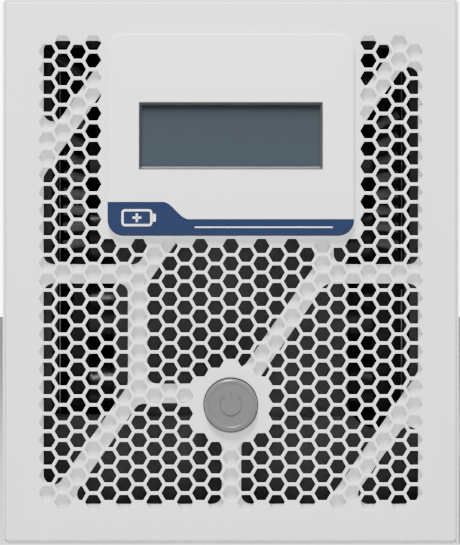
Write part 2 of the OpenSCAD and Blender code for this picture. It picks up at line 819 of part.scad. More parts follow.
module bms_board() color("darkgreen") union() {
    plate(bms_d, board_t) difference() {
        translate([bms_x, bms_low + bms_h / 2]) square([bms_w, bms_h], center = true);
        bms_corner_marks() circle(r = 1.6);
    }
    block([-22, -6], [bms_d + board_t - eps, bms_d + 9], [112, 120]);
    block([bms_x - 30, bms_x - 10], [bms_d + board_t - eps, bms_d + 4], [92, 108]);
    for (x = [60, 72]) along_depth(x, 104, bms_d + board_t - eps, 12, 4);
}

module bms_transistors() color("black") for (i = [0 : 7])
    block([bms_x - 34 + i * 9, bms_x - 26 + i * 9], [bms_d + board_t, bms_d + board_t + 4.4],
          [58, 68]);

module bms_heatsink() color("silver") {
    base = bms_d + board_t + 4.4;
    block([bms_x - 38, bms_x + 42], [base, base + 3], [52, 88]);
    for (i = [0 : 9]) block([bms_x - 38 + i * 8.7, bms_x - 36.3 + i * 8.7],
                            [base + 3 - eps, base + 12], [52, 88]);
}

module bms_standoffs() color("gold")
    plate(tray_d + tray_t, 6) bms_corner_marks() difference() {
        circle(r = 3, $fn = 6);
        circle(r = 1.5);
    }

module current_shunt() color("peru") {
    base = bms_d + board_t;
    for (x = [-22, 60]) block([x - 6, x + 12], [base, base + 6], [28, 44]);
    for (z = [31, 36, 41]) block([2, 54 + eps], [base + 2, base + 3.2], [z - 1, z + 1]);
    block([-10 - eps, 2 + eps], [base + 1, base + 5], [29, 43]);
}

module fuse_holder() color("black") {
    base = tray_d + tray_t;
    block([-40, 40], [base, base + 6], [fuse_z - 11, fuse_z + 11]);
    for (x = [-30, 30]) block([x - 8, x + 8], [base + 6 - eps, base + 9],
                              [fuse_z - 9, fuse_z + 9]);
}

module main_fuse() color("silver") {
    base = tray_d + tray_t + 9;
    block([-38, 38], [base, base + 1.2], [fuse_z - 7, fuse_z + 7]);
    block([-16, 16], [base + 1.2 - eps, base + 9], [fuse_z - 9, fuse_z + 9]);
    for (x = [-30, 30]) translate([x, front_y + base + 1.2, fuse_z]) rotate([-90, 0, 0])
        cylinder(r = 4.4, h = 3.6, $fn = 6);
}

module power_cables() color("crimson") {
    wire(positive_route, 3);
    wire(negative_route, 3);
    wire(fused_route, 3);
    wire(output_route, 3);
    wire(shunt_route, 3);
}

module signal_leads() color("darkslategray") {
    wire(display_route, 1.8);
    wire(switch_route, 1.2);
}

// ---- fans ----

// a fan's square frame, ducted through, with four struts to the motor's hub
module fan_frame() difference() {
    union() {
        difference() {
            plate(fan_d, fan_depth) round_rect(fan_size, fan_size, 4);
            along_depth(0, 0, fan_d - 1, fan_depth + 2, duct_r);
        }
        plate(fan_d, 3) intersection() {
            circle(r = duct_r + 1);
            union() {
                circle(r = hub_r);
                for (a = [20, 110]) rotate(a) square([fan_size, 4], center = true);
            }
        }
        along_depth(0, 0, fan_d, 8, 4);
    }
    along_depth(0, 0, fan_d + 1.5, 20, 1.5 + fit_gap);
    for (x = [-1, 1], z = [-1, 1])
        along_depth(x * fan_hole, z * fan_hole, fan_d - 1, fan_depth + 2, 2.2);
}

// the rotor: a motor cup on its shaft, with flat blades set at a slant
module fan_rotor() {
    cup_d = fan_d + 4;
    cup_len = fan_depth - 6;
    difference() {
        along_depth(0, 0, cup_d, cup_len, hub_r - 0.5);
        along_depth(0, 0, cup_d - 1, cup_len - 1, hub_r - 2.5);
    }
    along_depth(0, 0, fan_d + 2, cup_len + 1, 1.5);
    for (i = [0 : blade_count - 1]) intersection() {
        difference() {
            along_depth(0, 0, cup_d, cup_len, rotor_dia / 2);
            along_depth(0, 0, cup_d - 1, cup_len + 2, hub_r - 1);
        }
        rotate([0, i * 360 / blade_count, 0])
            translate([hub_r - 2, front_y + cup_d + cup_len / 2, 0])
                rotate([48, 0, 0]) translate([0, -11, -0.9]) cube([20, 22, 1.8]);
    }
}

module fan_frame_left() color("black") translate([-fan_x, 0, fan_z]) fan_frame();
module fan_frame_right() color("black") translate([fan_x, 0, fan_z]) fan_frame();
module fan_rotor_left() color("black") translate([-fan_x, 0, fan_z]) fan_rotor();
module fan_rotor_right() color("black") translate([fan_x, 0, fan_z]) fan_rotor();

// wire guards: round rings on four arms that end in the screws' eyes
module fan_guards() color("silver") for (x = [-fan_x, fan_x]) {
    wire_r = 0.7;
    arm_d = case_d + 0.8;
    arm_len = 2 * fan_hole * sqrt(2) - 6;
    for (r = [7 : 7 : 28]) translate([x, front_y + arm_d + 1, fan_z]) rotate([90, 0, 0])
        rotate_extrude() translate([r, 0]) circle(r = wire_r, $fn = 16);
    for (a = [45, 135]) translate([x, front_y + arm_d, fan_z]) rotate([0, a, 0])
        translate([0, 0, -arm_len / 2]) cylinder(r = wire_r, h = arm_len);
    for (i = [-1, 1], j = [-1, 1]) translate([x + i * fan_hole, 0, fan_z + j * fan_hole])
        plate(case_d, 1.6) difference() {
            circle(r = 4);
            circle(r = 2.2);
        }
}

module fan_screws() color("dimgray")
    for (x = [-fan_x, fan_x], i = [-1, 1], j = [-1, 1])
        screw_forward(x + i * fan_hole, fan_z + j * fan_hole, case_d + 1.6, 1.9, 10, 3.4, 2);

// ---- breaker ----

module breaker_body() color("black") difference() {
    union() {
        block([breaker_x - breaker_w / 2, breaker_x + breaker_w / 2],
              [rear_d - breaker_depth, rear_d],
              [breaker_z - breaker_h / 2, breaker_z + breaker_h / 2]);
        plate(rear_d - eps, sheet_t + 3) translate([breaker_x, breaker_z])
            square([breaker_w - 6.4, breaker_h - 12.4], center = true);
        plate(case_d, 1.6) translate([breaker_x, breaker_z])
            round_rect(breaker_w + 2, breaker_h - 4, 2);
    }
    along_width(breaker_x - 6.4, lever_d, breaker_z, 12.8, barrel_r + 0.4);
    along_width(breaker_x - 9, lever_d, breaker_z, 18, 1.5 + fit_gap);
    block([breaker_x - 6.4, breaker_x + 6.4], [lever_d, case_d + 10],
          [breaker_z - 7.4, breaker_z + 7.4]);
}

module breaker_lever() color("whitesmoke") {
    along_width(breaker_x - 6, lever_d, breaker_z, 12, barrel_r);
    along_width(breaker_x - 8.4, lever_d, breaker_z, 16.8, 1.5);
    translate([breaker_x, front_y + lever_d, breaker_z]) rotate([lever_swing / 2, 0, 0])
        translate([-5, 0, -2]) cube([10, 14.6, 4]);
}

// ---- sockets ----

module power_connector() color("gray") difference() {
    union() {
        block([connector_x - connector_w / 2 + 6, connector_x + connector_w / 2 - 6],
              [case_d - 20, case_d + connector_stand],
              [connector_z - connector_h / 2, connector_z + connector_h / 2]);
        block([connector_x - connector_w / 2, connector_x + connector_w / 2],
              [case_d, case_d + 3], [connector_z - 8, connector_z + 8]);
    }
    for (x = [-1, 1]) {
        block([connector_x + x * contact_x - 6, connector_x + x * contact_x + 6],
              [case_d - 4, case_d + connector_stand + 1], [connector_z - 9, connector_z + 9]);
        along_depth(connector_x + x * ear_screw_x, connector_z, case_d - 1, 6, 1.7);
    }
}

module comm_sockets() color("silver") for (x = socket_x) difference() {
    block([x - socket_w / 2, x + socket_w / 2], [case_d - 18, case_d + 0.6],
          [socket_z - socket_h / 2, socket_z + socket_h / 2]);
    block([x - 5.9, x + 5.9], [case_d - 13, case_d + 2], [socket_z - 4.6, socket_z + 2.4]);
    block([x - 3.2, x + 3.2], [case_d - 13, case_d + 2], [socket_z - 5, socket_z + 4.6]);
}

module ground_stud() color("gold") {
    along_depth(stud_x, stud_z, case_d - 6, stud_len + 6, 3);
    translate([stud_x, front_y + rear_d - 4, stud_z]) rotate([-90, 0, 0])
        cylinder(r = 5.6, h = 4, $fn = 6);
}

module ground_nut() color("gold") translate([stud_x, front_y + case_d, stud_z])
    rotate([-90, 0, 0]) difference() {
        union() {
            cylinder(r = 6.2, h = 1.2);
            translate([0, 0, 1.2 - eps]) cylinder(r = 5.6, h = 3, $fn = 6);
        }
        translate([0, 0, -1]) cylinder(r = 3, h = 6);
    }

chassis_base();
outer_cover();
cover_screws();
rear_panel();
rear_screws();
front_panel();
backing_frame();
panel_screws();
display_plate();
display_band();
window_frame();
window_lens();
lcd_cell();
lcd_board();
lcd_screws();
button_sleeve();
power_button();
switch_plunger();
button_switch();
switch_board();
inner_bulkhead();
bulkhead_screws();
cell_row_1();
cell_row_2();
cell_row_3();
cell_row_4();
cell_row_5();
cell_row_6();
cell_holder_left();
cell_holder_right();
busbars_left();
busbars_right();
insulating_sheets();
tie_rods();
tie_rod_nuts();
pack_brackets();
pack_bolts();
rear_tray();
bms_board();
bms_heatsink();
bms_transistors();
bms_standoffs();
current_shunt();
fuse_holder();
main_fuse();
power_cables();
signal_leads();
fan_frame_left();
fan_frame_right();
fan_rotor_left();
fan_rotor_right();
fan_guards();
fan_screws();
breaker_body();
breaker_lever();
power_connector();
comm_sockets();
ground_stud();
ground_nut();
lead_grommets();
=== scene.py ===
# %% [markdown]
# # A battery module with a honeycomb grille
# The real object is a narrow white steel case with a moulded plastic front. This lesson
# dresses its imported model: it keeps every part where it is, gives each one a finish, and
# rebuilds the pieces whose edges, curves or repeats deserve better meshes.
# The model comes in as a fixed frame, and every new piece takes its place from it.

# %% Load the frame
import bmesh
import bpy
import json
import math
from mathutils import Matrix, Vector


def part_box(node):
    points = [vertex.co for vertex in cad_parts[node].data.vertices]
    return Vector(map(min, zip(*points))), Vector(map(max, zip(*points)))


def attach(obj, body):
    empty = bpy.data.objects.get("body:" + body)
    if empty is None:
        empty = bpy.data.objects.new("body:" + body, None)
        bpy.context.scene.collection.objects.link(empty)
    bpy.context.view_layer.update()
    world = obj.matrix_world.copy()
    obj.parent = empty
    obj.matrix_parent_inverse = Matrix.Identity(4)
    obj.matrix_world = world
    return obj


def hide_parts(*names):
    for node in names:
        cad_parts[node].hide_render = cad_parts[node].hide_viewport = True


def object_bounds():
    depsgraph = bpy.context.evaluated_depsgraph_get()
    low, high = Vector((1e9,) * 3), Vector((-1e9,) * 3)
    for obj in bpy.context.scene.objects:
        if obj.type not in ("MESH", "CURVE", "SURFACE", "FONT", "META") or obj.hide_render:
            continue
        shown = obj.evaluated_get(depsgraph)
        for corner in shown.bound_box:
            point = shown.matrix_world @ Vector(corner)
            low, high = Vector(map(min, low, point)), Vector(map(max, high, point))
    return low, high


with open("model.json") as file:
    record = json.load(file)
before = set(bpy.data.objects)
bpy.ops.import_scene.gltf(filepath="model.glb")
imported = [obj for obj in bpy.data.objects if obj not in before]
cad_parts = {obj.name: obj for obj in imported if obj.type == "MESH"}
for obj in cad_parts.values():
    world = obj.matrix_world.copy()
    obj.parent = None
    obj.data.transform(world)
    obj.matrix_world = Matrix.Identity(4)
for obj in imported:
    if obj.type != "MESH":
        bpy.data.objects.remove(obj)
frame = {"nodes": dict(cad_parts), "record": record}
cad_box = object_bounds()
MM = 0.001
scene = bpy.context.scene
case_low, case_high = cad_box
print("case size in mm:", [round(v / MM, 1) for v in case_high - case_low])

# %% [markdown]
# ## Where things are
# Places are read from the frame, so a change of the design moves the pieces too. The
# grille's face is the front of the front panel, and depths are counted from it towards
# the rear, because that is how a case like this is drawn.

# %% Places read from the frame
front_low, front_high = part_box("front_panel")
front_y = front_low.y
button_low, button_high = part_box("power_button")
plate_low, plate_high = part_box("display_plate")
band_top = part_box("display_band")[1].z
rim_low, rim_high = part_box("window_frame")
lens_low, lens_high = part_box("window_lens")
holder_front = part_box("cell_holder_right")[0].y
button_z = (button_low.z + button_high.z) / 2
print("grille face at", round(front_y / MM, 2), "mm, button height", round(button_z / MM, 2), "mm")

# %% [markdown]
# ## Small tools for pieces
# A piece is a mesh whose object stays at the origin. `finished_piece` links it, gives it
# its finish, lets it ride on a body and names the parts that it stands for, so that no
# piece is left behind when a joint moves.

# %% Tools for pieces
pieces_made = []
finishes = {}
FLAT_ANGLE, EDGE_ANGLE = 0.5, 40
SAME_POINT = 1e-6


def finished_piece(name, mesh, body, slot, replaces=(), smooth_angle=35):
    """Link a mesh as a piece, shade it and tie it to its body and finish."""
    piece = bpy.data.objects.new(name, mesh)
    scene.collection.objects.link(piece)
    for polygon in mesh.polygons:
        polygon.use_smooth = True
    mesh.set_sharp_from_angle(angle=math.radians(smooth_angle))
    if finishes[slot] not in mesh.materials[:]:
        mesh.materials.clear()
        mesh.materials.append(finishes[slot])
    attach(piece, body)
    if replaces:
        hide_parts(*replaces)
    pieces_made.append(name)


def mesh_from(name, points, faces):
    """A mesh from lists of points and faces, with its normals turned outwards."""
    mesh = bpy.data.meshes.new(name)
    mesh.from_pydata([tuple(p) for p in points], [], faces)
    sheet = bmesh.new()
    sheet.from_mesh(mesh)
    bmesh.ops.remove_doubles(sheet, verts=sheet.verts, dist=SAME_POINT / 10)
    bmesh.ops.recalc_face_normals(sheet, faces=sheet.faces)
    sheet.to_mesh(mesh)
    sheet.free()
    return mesh


def with_modifier(mesh, kind, **settings):
    """The mesh that a modifier makes of this one."""
    host = bpy.data.objects.new("host", mesh)
    scene.collection.objects.link(host)
    modifier = host.modifiers.new("step", kind)
    for key, value in settings.items():
        setattr(modifier, key, value)
    graph = bpy.context.evaluated_depsgraph_get()
    result = bpy.data.meshes.new_from_object(host.evaluated_get(graph))
    bpy.data.objects.remove(host)
    return result


def cut_away(mesh, tool_mesh, operation="DIFFERENCE"):
    """Cut one closed mesh out of another, or keep what they share."""
    tool = bpy.data.objects.new("tool", tool_mesh)
    scene.collection.objects.link(tool)
    result = with_modifier(mesh, "BOOLEAN", object=tool, operation=operation, solver="EXACT")
    bpy.data.objects.remove(tool)
    return result


def softened(node, name, width, slot, body="case", segments=2, smooth_angle=40):
    """Stand in for a part with a merged copy of it whose sharp edges are rounded a little."""
    clean = bmesh.new()
    clean.from_mesh(frame["nodes"][node].data)
    bmesh.ops.remove_doubles(clean, verts=clean.verts, dist=SAME_POINT)
    bmesh.ops.dissolve_limit(clean, angle_limit=math.radians(FLAT_ANGLE), verts=clean.verts,
                             edges=clean.edges)
    mesh = bpy.data.meshes.new(name)
    clean.to_mesh(mesh)
    clean.free()
    mesh = with_modifier(mesh, "BEVEL", width=width, segments=segments, limit_method="ANGLE",
                         angle_limit=math.radians(EDGE_ANGLE), use_clamp_overlap=False)
    finished_piece(name, mesh, body, slot, (node,), smooth_angle)


print("piece tools are ready")


# %% [markdown]
# ## Loft: a shape from rings
# Moulded parts here are stacks of outlines: a rounded rectangle for a plate, a circle for
# a button. Joining one ring to the next gives full control of how an edge rolls over.

# %% Rings and lofts
def rounded_ring(centre, width, height, radius, depth, steps=8):
    """A rounded rectangle across the case at one depth, as a ring of points."""
    ring = []
    for turn, (sx, sz) in enumerate([(1, 1), (-1, 1), (-1, -1), (1, -1)]):
        for step in range(steps + 1):
            angle = math.pi / 2 * (turn + step / steps)
            x = centre[0] + sx * (width / 2 - radius) + radius * math.cos(angle)
            z = centre[1] + sz * (height / 2 - radius) + radius * math.sin(angle)
            ring.append((x, front_y + depth, z))
    return ring


def circle_ring(centre, radius, depth, steps=64):
    """A circle across the case at one depth, as a ring of points."""
    return [(centre[0] + radius * math.cos(math.tau * i / steps), front_y + depth,
             centre[1] + radius * math.sin(math.tau * i / steps)) for i in range(steps)]


def loft(name, rings, closed_loop=False):
    """Join rings in order. An open stack gets a cap at each end, a closed one joins up."""
    size = len(rings[0])
    points = [p for ring in rings for p in ring]
    faces = []
    pairs = len(rings) if closed_loop else len(rings) - 1
    for level in range(pairs):
        lower, upper = level * size, (level + 1) % len(rings) * size
        for i in range(size):
            j = (i + 1) % size
            faces.append((lower + i, lower + j, upper + j, upper + i))
    if not closed_loop:
        faces.append(tuple(reversed(range(size))))
        faces.append(tuple(range((len(rings) - 1) * size, len(rings) * size)))
    return mesh_from(name, points, faces)


def rolled_edge(roll, steps=5):
    """Insets and depths in mm of an edge that rolls from a side into a face."""
    return [(roll * (1 - math.cos(math.pi / 2 * i / steps)),
             roll * (1 - math.sin(math.pi / 2 * i / steps))) for i in range(steps + 1)]


print("ring tools are ready")

# %% [markdown]
# ## Effects that several finishes share
# Painted steel, moulded plastic and metal all show three small things: a fine surface
# grain that catches the light, a slow drift of tone across a panel, and a patchy greying in
# corners and recesses, found by ambient occlusion, which is partly dust and partly painted shade.
# Each is a node group with named inputs, built once.

# %% Node tools
def place(tree, kind, inputs=None, **settings):
    """Add a node, set its settings, and fill or link its input sockets."""
    node = tree.nodes.new(kind)
    for key, value in settings.items():
        setattr(node, key, value)
    for key, value in (inputs or {}).items():
        if isinstance(value, bpy.types.NodeSocket):
            tree.links.new(value, node.inputs[key])
        else:
            node.inputs[key].default_value = value
    return node


def maths(tree, operation, *values, clamp=False):
    """A Math node's output, for numbers or sockets."""
    inputs = dict(enumerate(values))
    return place(tree, "ShaderNodeMath", inputs, operation=operation, use_clamp=clamp).outputs[0]


def mix_colours(tree, factor, first, second):
    """Blend two colours by a factor that changes over the surface."""
    node = place(tree, "ShaderNodeMix", {0: factor}, data_type="RGBA")
    for key, value in ((6, first), (7, second)):
        if isinstance(value, bpy.types.NodeSocket):
            tree.links.new(value, node.inputs[key])
        else:
            node.inputs[key].default_value = (*value, 1)
    return node.outputs[2]


def spread(tree, factor, low, high):
    """Stretch a value from 0..1 to low..high."""
    return place(tree, "ShaderNodeMapRange", {0: factor, 3: low, 4: high}).outputs[0]


def group_with(name, inputs, outputs):
    """An empty shader group with named sockets, and its two end nodes."""
    tree = bpy.data.node_groups.new(name, "ShaderNodeTree")
    for label, kind, value in inputs:
        socket = tree.interface.new_socket(label, in_out="INPUT", socket_type=kind)
        socket.default_value = value
    for label, kind in outputs:
        tree.interface.new_socket(label, in_out="OUTPUT", socket_type=kind)
    start = tree.nodes.new("NodeGroupInput")
    end = tree.nodes.new("NodeGroupOutput")
    return tree, start.outputs, end.inputs


print("node tools are ready")

# %% Surface grain
def build_grain():
    """A fine grain for bumps and gloss, and a slow drift of tone."""
    tree, given, wanted = group_with(
        "surface_grain",
        [("Scale", "NodeSocketFloat", 900.0), ("Detail", "NodeSocketFloat", 3.0)],
        [("Height", "NodeSocketFloat"), ("Mottle", "NodeSocketFloat")])
    place_on = place(tree, "ShaderNodeTexCoord").outputs["Object"]
    fine = place(tree, "ShaderNodeTexNoise", {"Vector": place_on, "Scale": given["Scale"],
                                              "Detail": given["Detail"], "Roughness": 0.55})
    slow = place(tree, "ShaderNodeTexNoise", {"Vector": place_on, "Scale": 14.0, "Detail": 2.0})
    tree.links.new(fine.outputs["Fac"], wanted["Height"])
    tree.links.new(slow.outputs["Fac"], wanted["Mottle"])
    return tree


GRAIN = build_grain()
print("grain nodes:", len(GRAIN.nodes))

# %% Brushed lines
def build_brushed():
    """Fine lines pulled out along one direction."""
    tree, given, wanted = group_with(
        "brushed_lines",
        [("Scale", "NodeSocketFloat", 60.0), ("Stretch", "NodeSocketVector", (1, 30, 30))],
        [("Height", "NodeSocketFloat")])
    place_on = place(tree, "ShaderNodeTexCoord").outputs["Object"]
    pulled = place(tree, "ShaderNodeVectorMath", {0: place_on, 1: given["Stretch"]},
                   operation="MULTIPLY").outputs[0]
    lines = place(tree, "ShaderNodeTexNoise", {"Vector": pulled, "Scale": given["Scale"],
                                               "Detail": 4.0, "Roughness": 0.7})
    tree.links.new(lines.outputs["Fac"], wanted["Height"])
    return tree


BRUSHED = build_brushed()
print("brushed line nodes:", len(BRUSHED.nodes))

# %% Dust and painted corner shade
def build_dust_and_shade():
    """A broken-up mask for dust and painted shade, strongest in corners and recesses."""
    tree, given, wanted = group_with(
        "settled_dust",
        [("Reach", "NodeSocketFloat", 0.004), ("Amount", "NodeSocketFloat", 0.5)],
        [("Mask", "NodeSocketFloat")])
    place_on = place(tree, "ShaderNodeTexCoord").outputs["Object"]
    # Painted shade: ambient occlusion marks corners and recesses, where shade falls; dust gathers
    # there too.
    corners = place(tree, "ShaderNodeAmbientOcclusion", {"Distance": given["Reach"]}, samples=8)
    shade = maths(tree, "SUBTRACT", 1.0, corners.outputs["AO"])
    cloud = place(tree, "ShaderNodeTexNoise", {"Vector": place_on, "Scale": 220.0, "Detail": 3.0})
    patchy = maths(tree, "MULTIPLY", shade, cloud.outputs["Fac"])
    tree.links.new(maths(tree, "MULTIPLY", patchy, given["Amount"], clamp=True), wanted["Mask"])
    return tree


DUST_AND_SHADE = build_dust_and_shade()
print("shared effects:", [g.name for g in bpy.data.node_groups])

# %% [markdown]
# ## Finishes
# One function makes each family of finish. A coat or a moulding has nearly one colour,
# so what makes it look real is small: a drift in tone, a broken-up gloss and a grain of
# the right size, about a millimetre for powder coat and a third of that for plastic.

# %% Tools for finishes
DUST_AND_SHADE_COVER, DUST_AND_SHADE_TONE = 0.45, 0.16
METAL_DRIFT, LINE_DEPTH = 0.12, 0.02 * MM


def start_material(name):
    """A new finish kept under its slot's name: its node tree and its shader's sockets."""
    material = finishes[name] = bpy.data.materials.new(name)
    material.use_nodes = True
    tree = material.node_tree
    return tree, tree.nodes["Principled BSDF"].inputs


def grouped(tree, group, **values):
    """Place a shared effect with its own values."""
    node = place(tree, "ShaderNodeGroup", node_tree=group)
    for key, value in values.items():
        node.inputs[key].default_value = value
    return node.outputs


def bump(tree, height, depth):
    """A normal bent by a height field, with its depth in metres."""
    return place(tree, "ShaderNodeBump", {"Height": height, "Distance": depth}).outputs["Normal"]


def coated(name, colour, grain, depth, gloss, drift=0.06, dust_and_shade=0.35, shine=0.5):
    """A paint, a film or a moulding: colour, grain size, bump depth and roughness range."""
    tree, surface = start_material(name)
    texture = grouped(tree, GRAIN, Scale=grain)
    dust_and_shade_mask = grouped(tree, DUST_AND_SHADE, Amount=dust_and_shade)["Mask"]
    darker = tuple(c * (1 - drift) for c in colour)
    lighter = tuple(min(1.0, c * (1 + drift)) for c in colour)
    toned = mix_colours(tree, texture["Mottle"], darker, lighter)
    # Dust and painted shade: where the mask is set, the colour is pulled towards a mid grey, which
    # darkens pale finishes.
    dust_and_shade_colour = tuple((1 - DUST_AND_SHADE_COVER) * c + DUST_AND_SHADE_COVER * DUST_AND_SHADE_TONE for c in colour)
    tree.links.new(mix_colours(tree, dust_and_shade_mask, toned, dust_and_shade_colour), surface["Base Color"])
    tree.links.new(spread(tree, texture["Height"], *gloss), surface["Roughness"])
    tree.links.new(bump(tree, texture["Height"], depth), surface["Normal"])
    surface["Specular IOR Level"].default_value = shine


def metallic(name, colour, gloss, scale=60.0, stretch=(1, 30, 30)):
    """A bare or plated metal with drawn lines and slightly uneven colour."""
    tree, surface = start_material(name)
    lines = grouped(tree, BRUSHED, Scale=scale, Stretch=stretch)["Height"]
    texture = grouped(tree, GRAIN, Scale=260.0)
    darker = tuple(c * (1 - METAL_DRIFT) for c in colour)
    tree.links.new(mix_colours(tree, texture["Mottle"], darker, colour), surface["Base Color"])
    tree.links.new(spread(tree, lines, *gloss), surface["Roughness"])
    tree.links.new(bump(tree, lines, LINE_DEPTH), surface["Normal"])
    surface["Metallic"].default_value = 1.0


print("finish tools are ready")

# %% Plain finishes
coated("white_steel", (0.78, 0.78, 0.78), 1100, 0.00005, (0.34, 0.50), drift=0.02)
coated("dark_steel", (0.027, 0.027, 0.028), 1100, 0.00005, (0.50, 0.68), drift=0.10, dust_and_shade=0.05)
coated("white_plastic", (0.80, 0.80, 0.80), 2600, 0.00002, (0.42, 0.56), drift=0.015)
coated("plate_plastic", (0.88, 0.88, 0.88), 3200, 0.00001, (0.34, 0.46), drift=0.012)
coated("blue_film", (0.008, 0.016, 0.052), 2600, 0.00001, (0.40, 0.52), drift=0.05, dust_and_shade=0.02,
       shine=0.22)
coated("window_plastic", (0.050, 0.054, 0.058), 3000, 0.00001, (0.26, 0.38), drift=0.08)
coated("black_plastic", (0.013, 0.013, 0.014), 2400, 0.00003, (0.30, 0.52), drift=0.12)
coated("light_plastic", (0.52, 0.52, 0.50), 2600, 0.00001, (0.34, 0.48), drift=0.03)
coated("connector_grey", (0.16, 0.165, 0.17), 2600, 0.00003, (0.40, 0.58), drift=0.06)
coated("rubber_black", (0.016, 0.016, 0.016), 1800, 0.00004, (0.60, 0.80), drift=0.12)
coated("cell_sleeve", (0.006, 0.007, 0.009), 500, 0.00002, (0.16, 0.30), drift=0.10, dust_and_shade=0.02,
       shine=0.25)
coated("red_cable", (0.36, 0.015, 0.012), 900, 0.00003, (0.42, 0.60), drift=0.10)
coated("black_cable", (0.014, 0.014, 0.014), 900, 0.00003, (0.42, 0.60), drift=0.10)
coated("display_glass", (0.010, 0.014, 0.015), 400, 0.000005, (0.06, 0.12), drift=0.10)
metallic("zinc_steel", (0.60, 0.62, 0.65), (0.22, 0.42), scale=140, stretch=(1, 1, 1))
metallic("nickel_strip", (0.58, 0.55, 0.50), (0.24, 0.40))
metallic("aluminium", (0.66, 0.67, 0.68), (0.26, 0.46), stretch=(30, 30, 1))
metallic("brass", (0.66, 0.48, 0.20), (0.20, 0.36), scale=120, stretch=(1, 1, 1))
print("plain finishes:", len(finishes))

# %% [markdown]
# ## Finishes with a pattern
# Five finishes carry a pattern: the display window has painted shade that darkens it towards
# its top, where the frame would shade it, and hides a faint matrix of characters; the button's
# face is satin inside a polished rim; circuit boards have copper tracks under a green mask; the
# insulating sheets show their glass cloth; and the black cell holders have a painted highlight
# on the front edge of their ribs. The patterns use Object coordinates, so they hold still on the
# part.

# %% The display window
CHARACTER = (3.55 * MM, 5.95 * MM)
CELL_GAP = 0.3 * MM
FAINT = (0.98, 0.98, 0.98)


def window_glass():
    """Smoked glass with painted shade that darkens it towards its top, and a faint matrix of
    characters.
    """
    tree, surface = start_material("window_lens")
    place_on = place(tree, "ShaderNodeTexCoord").outputs["Object"]
    height = place(tree, "ShaderNodeSeparateXYZ", {0: place_on}).outputs["Z"]
    up = place(tree, "ShaderNodeMapRange", {0: height, 1: lens_low.z, 2: lens_high.z}).outputs[0]
    # Painted shade: the ramp darkens the glass towards its top, where the frame would shade it.
    shade = place(tree, "ShaderNodeValToRGB", {0: up})
    ramp = shade.color_ramp
    ramp.elements[0].color = (0.035, 0.046, 0.055, 1)
    ramp.elements[1].color = (0.024, 0.029, 0.034, 1)
    middle = ramp.elements.new(0.72)
    middle.color = (0.033, 0.041, 0.048, 1)
    turned = place(tree, "ShaderNodeMapping", {"Vector": place_on, "Rotation": (math.pi / 2, 0, 0)})
    cells = place(tree, "ShaderNodeTexBrick",
                  {"Vector": turned.outputs[0], "Scale": 1.0, "Brick Width": CHARACTER[0],
                   "Row Height": CHARACTER[1], "Mortar Size": CELL_GAP, "Mortar Smooth": 0.2},
                  offset=0.0)
    tone = mix_colours(tree, cells.outputs["Fac"], FAINT, (1, 1, 1))
    mixed = place(tree, "ShaderNodeMix", {0: 1.0}, data_type="RGBA", blend_type="MULTIPLY")
    tree.links.new(shade.outputs[0], mixed.inputs[6])
    tree.links.new(tone, mixed.inputs[7])
    tree.links.new(mixed.outputs[2], surface["Base Color"])
    texture = grouped(tree, GRAIN, Scale=300.0)
    tree.links.new(spread(tree, texture["Height"], 0.10, 0.16), surface["Roughness"])
    surface["Specular IOR Level"].default_value = 0.25


window_glass()
print("window height in mm:", round((lens_high.z - lens_low.z) / MM, 1))


# %% The button's cap
SATIN_RADIUS, RIM_RADIUS = 8.2 * MM, 9.4 * MM


def button_finish():
    """Satin inside, polished on the rim, by the distance from the button's middle."""
    tree, surface = start_material("button_grey")
    place_on = place(tree, "ShaderNodeTexCoord").outputs["Object"]
    from_middle = place(tree, "ShaderNodeVectorMath", {0: place_on, 1: (0, 0, button_z)},
                        operation="SUBTRACT").outputs[0]
    flat = place(tree, "ShaderNodeVectorMath", {0: from_middle, 1: (1, 0, 1)},
                 operation="MULTIPLY").outputs[0]
    radius = place(tree, "ShaderNodeVectorMath", {0: flat}, operation="LENGTH").outputs["Value"]
    rim = place(tree, "ShaderNodeMapRange", {0: radius, 1: SATIN_RADIUS, 2: RIM_RADIUS}).outputs[0]
    texture = grouped(tree, GRAIN, Scale=2600.0)
    face = mix_colours(tree, texture["Mottle"], (0.094, 0.093, 0.094), (0.104, 0.103, 0.104))
    tree.links.new(mix_colours(tree, rim, face, (0.10, 0.10, 0.102)), surface["Base Color"])
    satin = spread(tree, texture["Height"], 0.34, 0.46)
    polished = maths(tree, "MULTIPLY", satin, 0.45)
    gloss = place(tree, "ShaderNodeMix", {0: rim, 2: satin, 3: polished}).outputs[0]
    tree.links.new(gloss, surface["Roughness"])
    tree.links.new(bump(tree, texture["Height"], 0.00001), surface["Normal"])


button_finish()
print("satin radius in mm:", round(SATIN_RADIUS / MM, 1))


# %% Circuit boards and glass cloth
def circuit_finish():
    """Copper tracks under a green mask."""
    tree, surface = start_material("circuit_board")
    place_on = place(tree, "ShaderNodeTexCoord").outputs["Object"]
    turned = place(tree, "ShaderNodeMapping", {"Vector": place_on, "Rotation": (math.pi / 2, 0, 0)})
    tracks = place(tree, "ShaderNodeTexBrick",
                   {"Vector": turned.outputs[0], "Scale": 1.0, "Brick Width": 21 * MM,
                    "Row Height": 2.4 * MM, "Mortar Size": 0.35 * MM, "Mortar Smooth": 0.1},
                   offset=0.37, squash=0.7, squash_frequency=3)
    texture = grouped(tree, GRAIN, Scale=900.0)
    mask = mix_colours(tree, tracks.outputs["Fac"], (0.012, 0.070, 0.030), (0.030, 0.125, 0.052))
    drift = maths(tree, "MULTIPLY", texture["Mottle"], 0.3)
    toned = mix_colours(tree, drift, mask, (0.01, 0.05, 0.02))
    tree.links.new(toned, surface["Base Color"])
    tree.links.new(spread(tree, texture["Height"], 0.22, 0.34), surface["Roughness"])
    tree.links.new(bump(tree, tracks.outputs["Fac"], 0.00004), surface["Normal"])


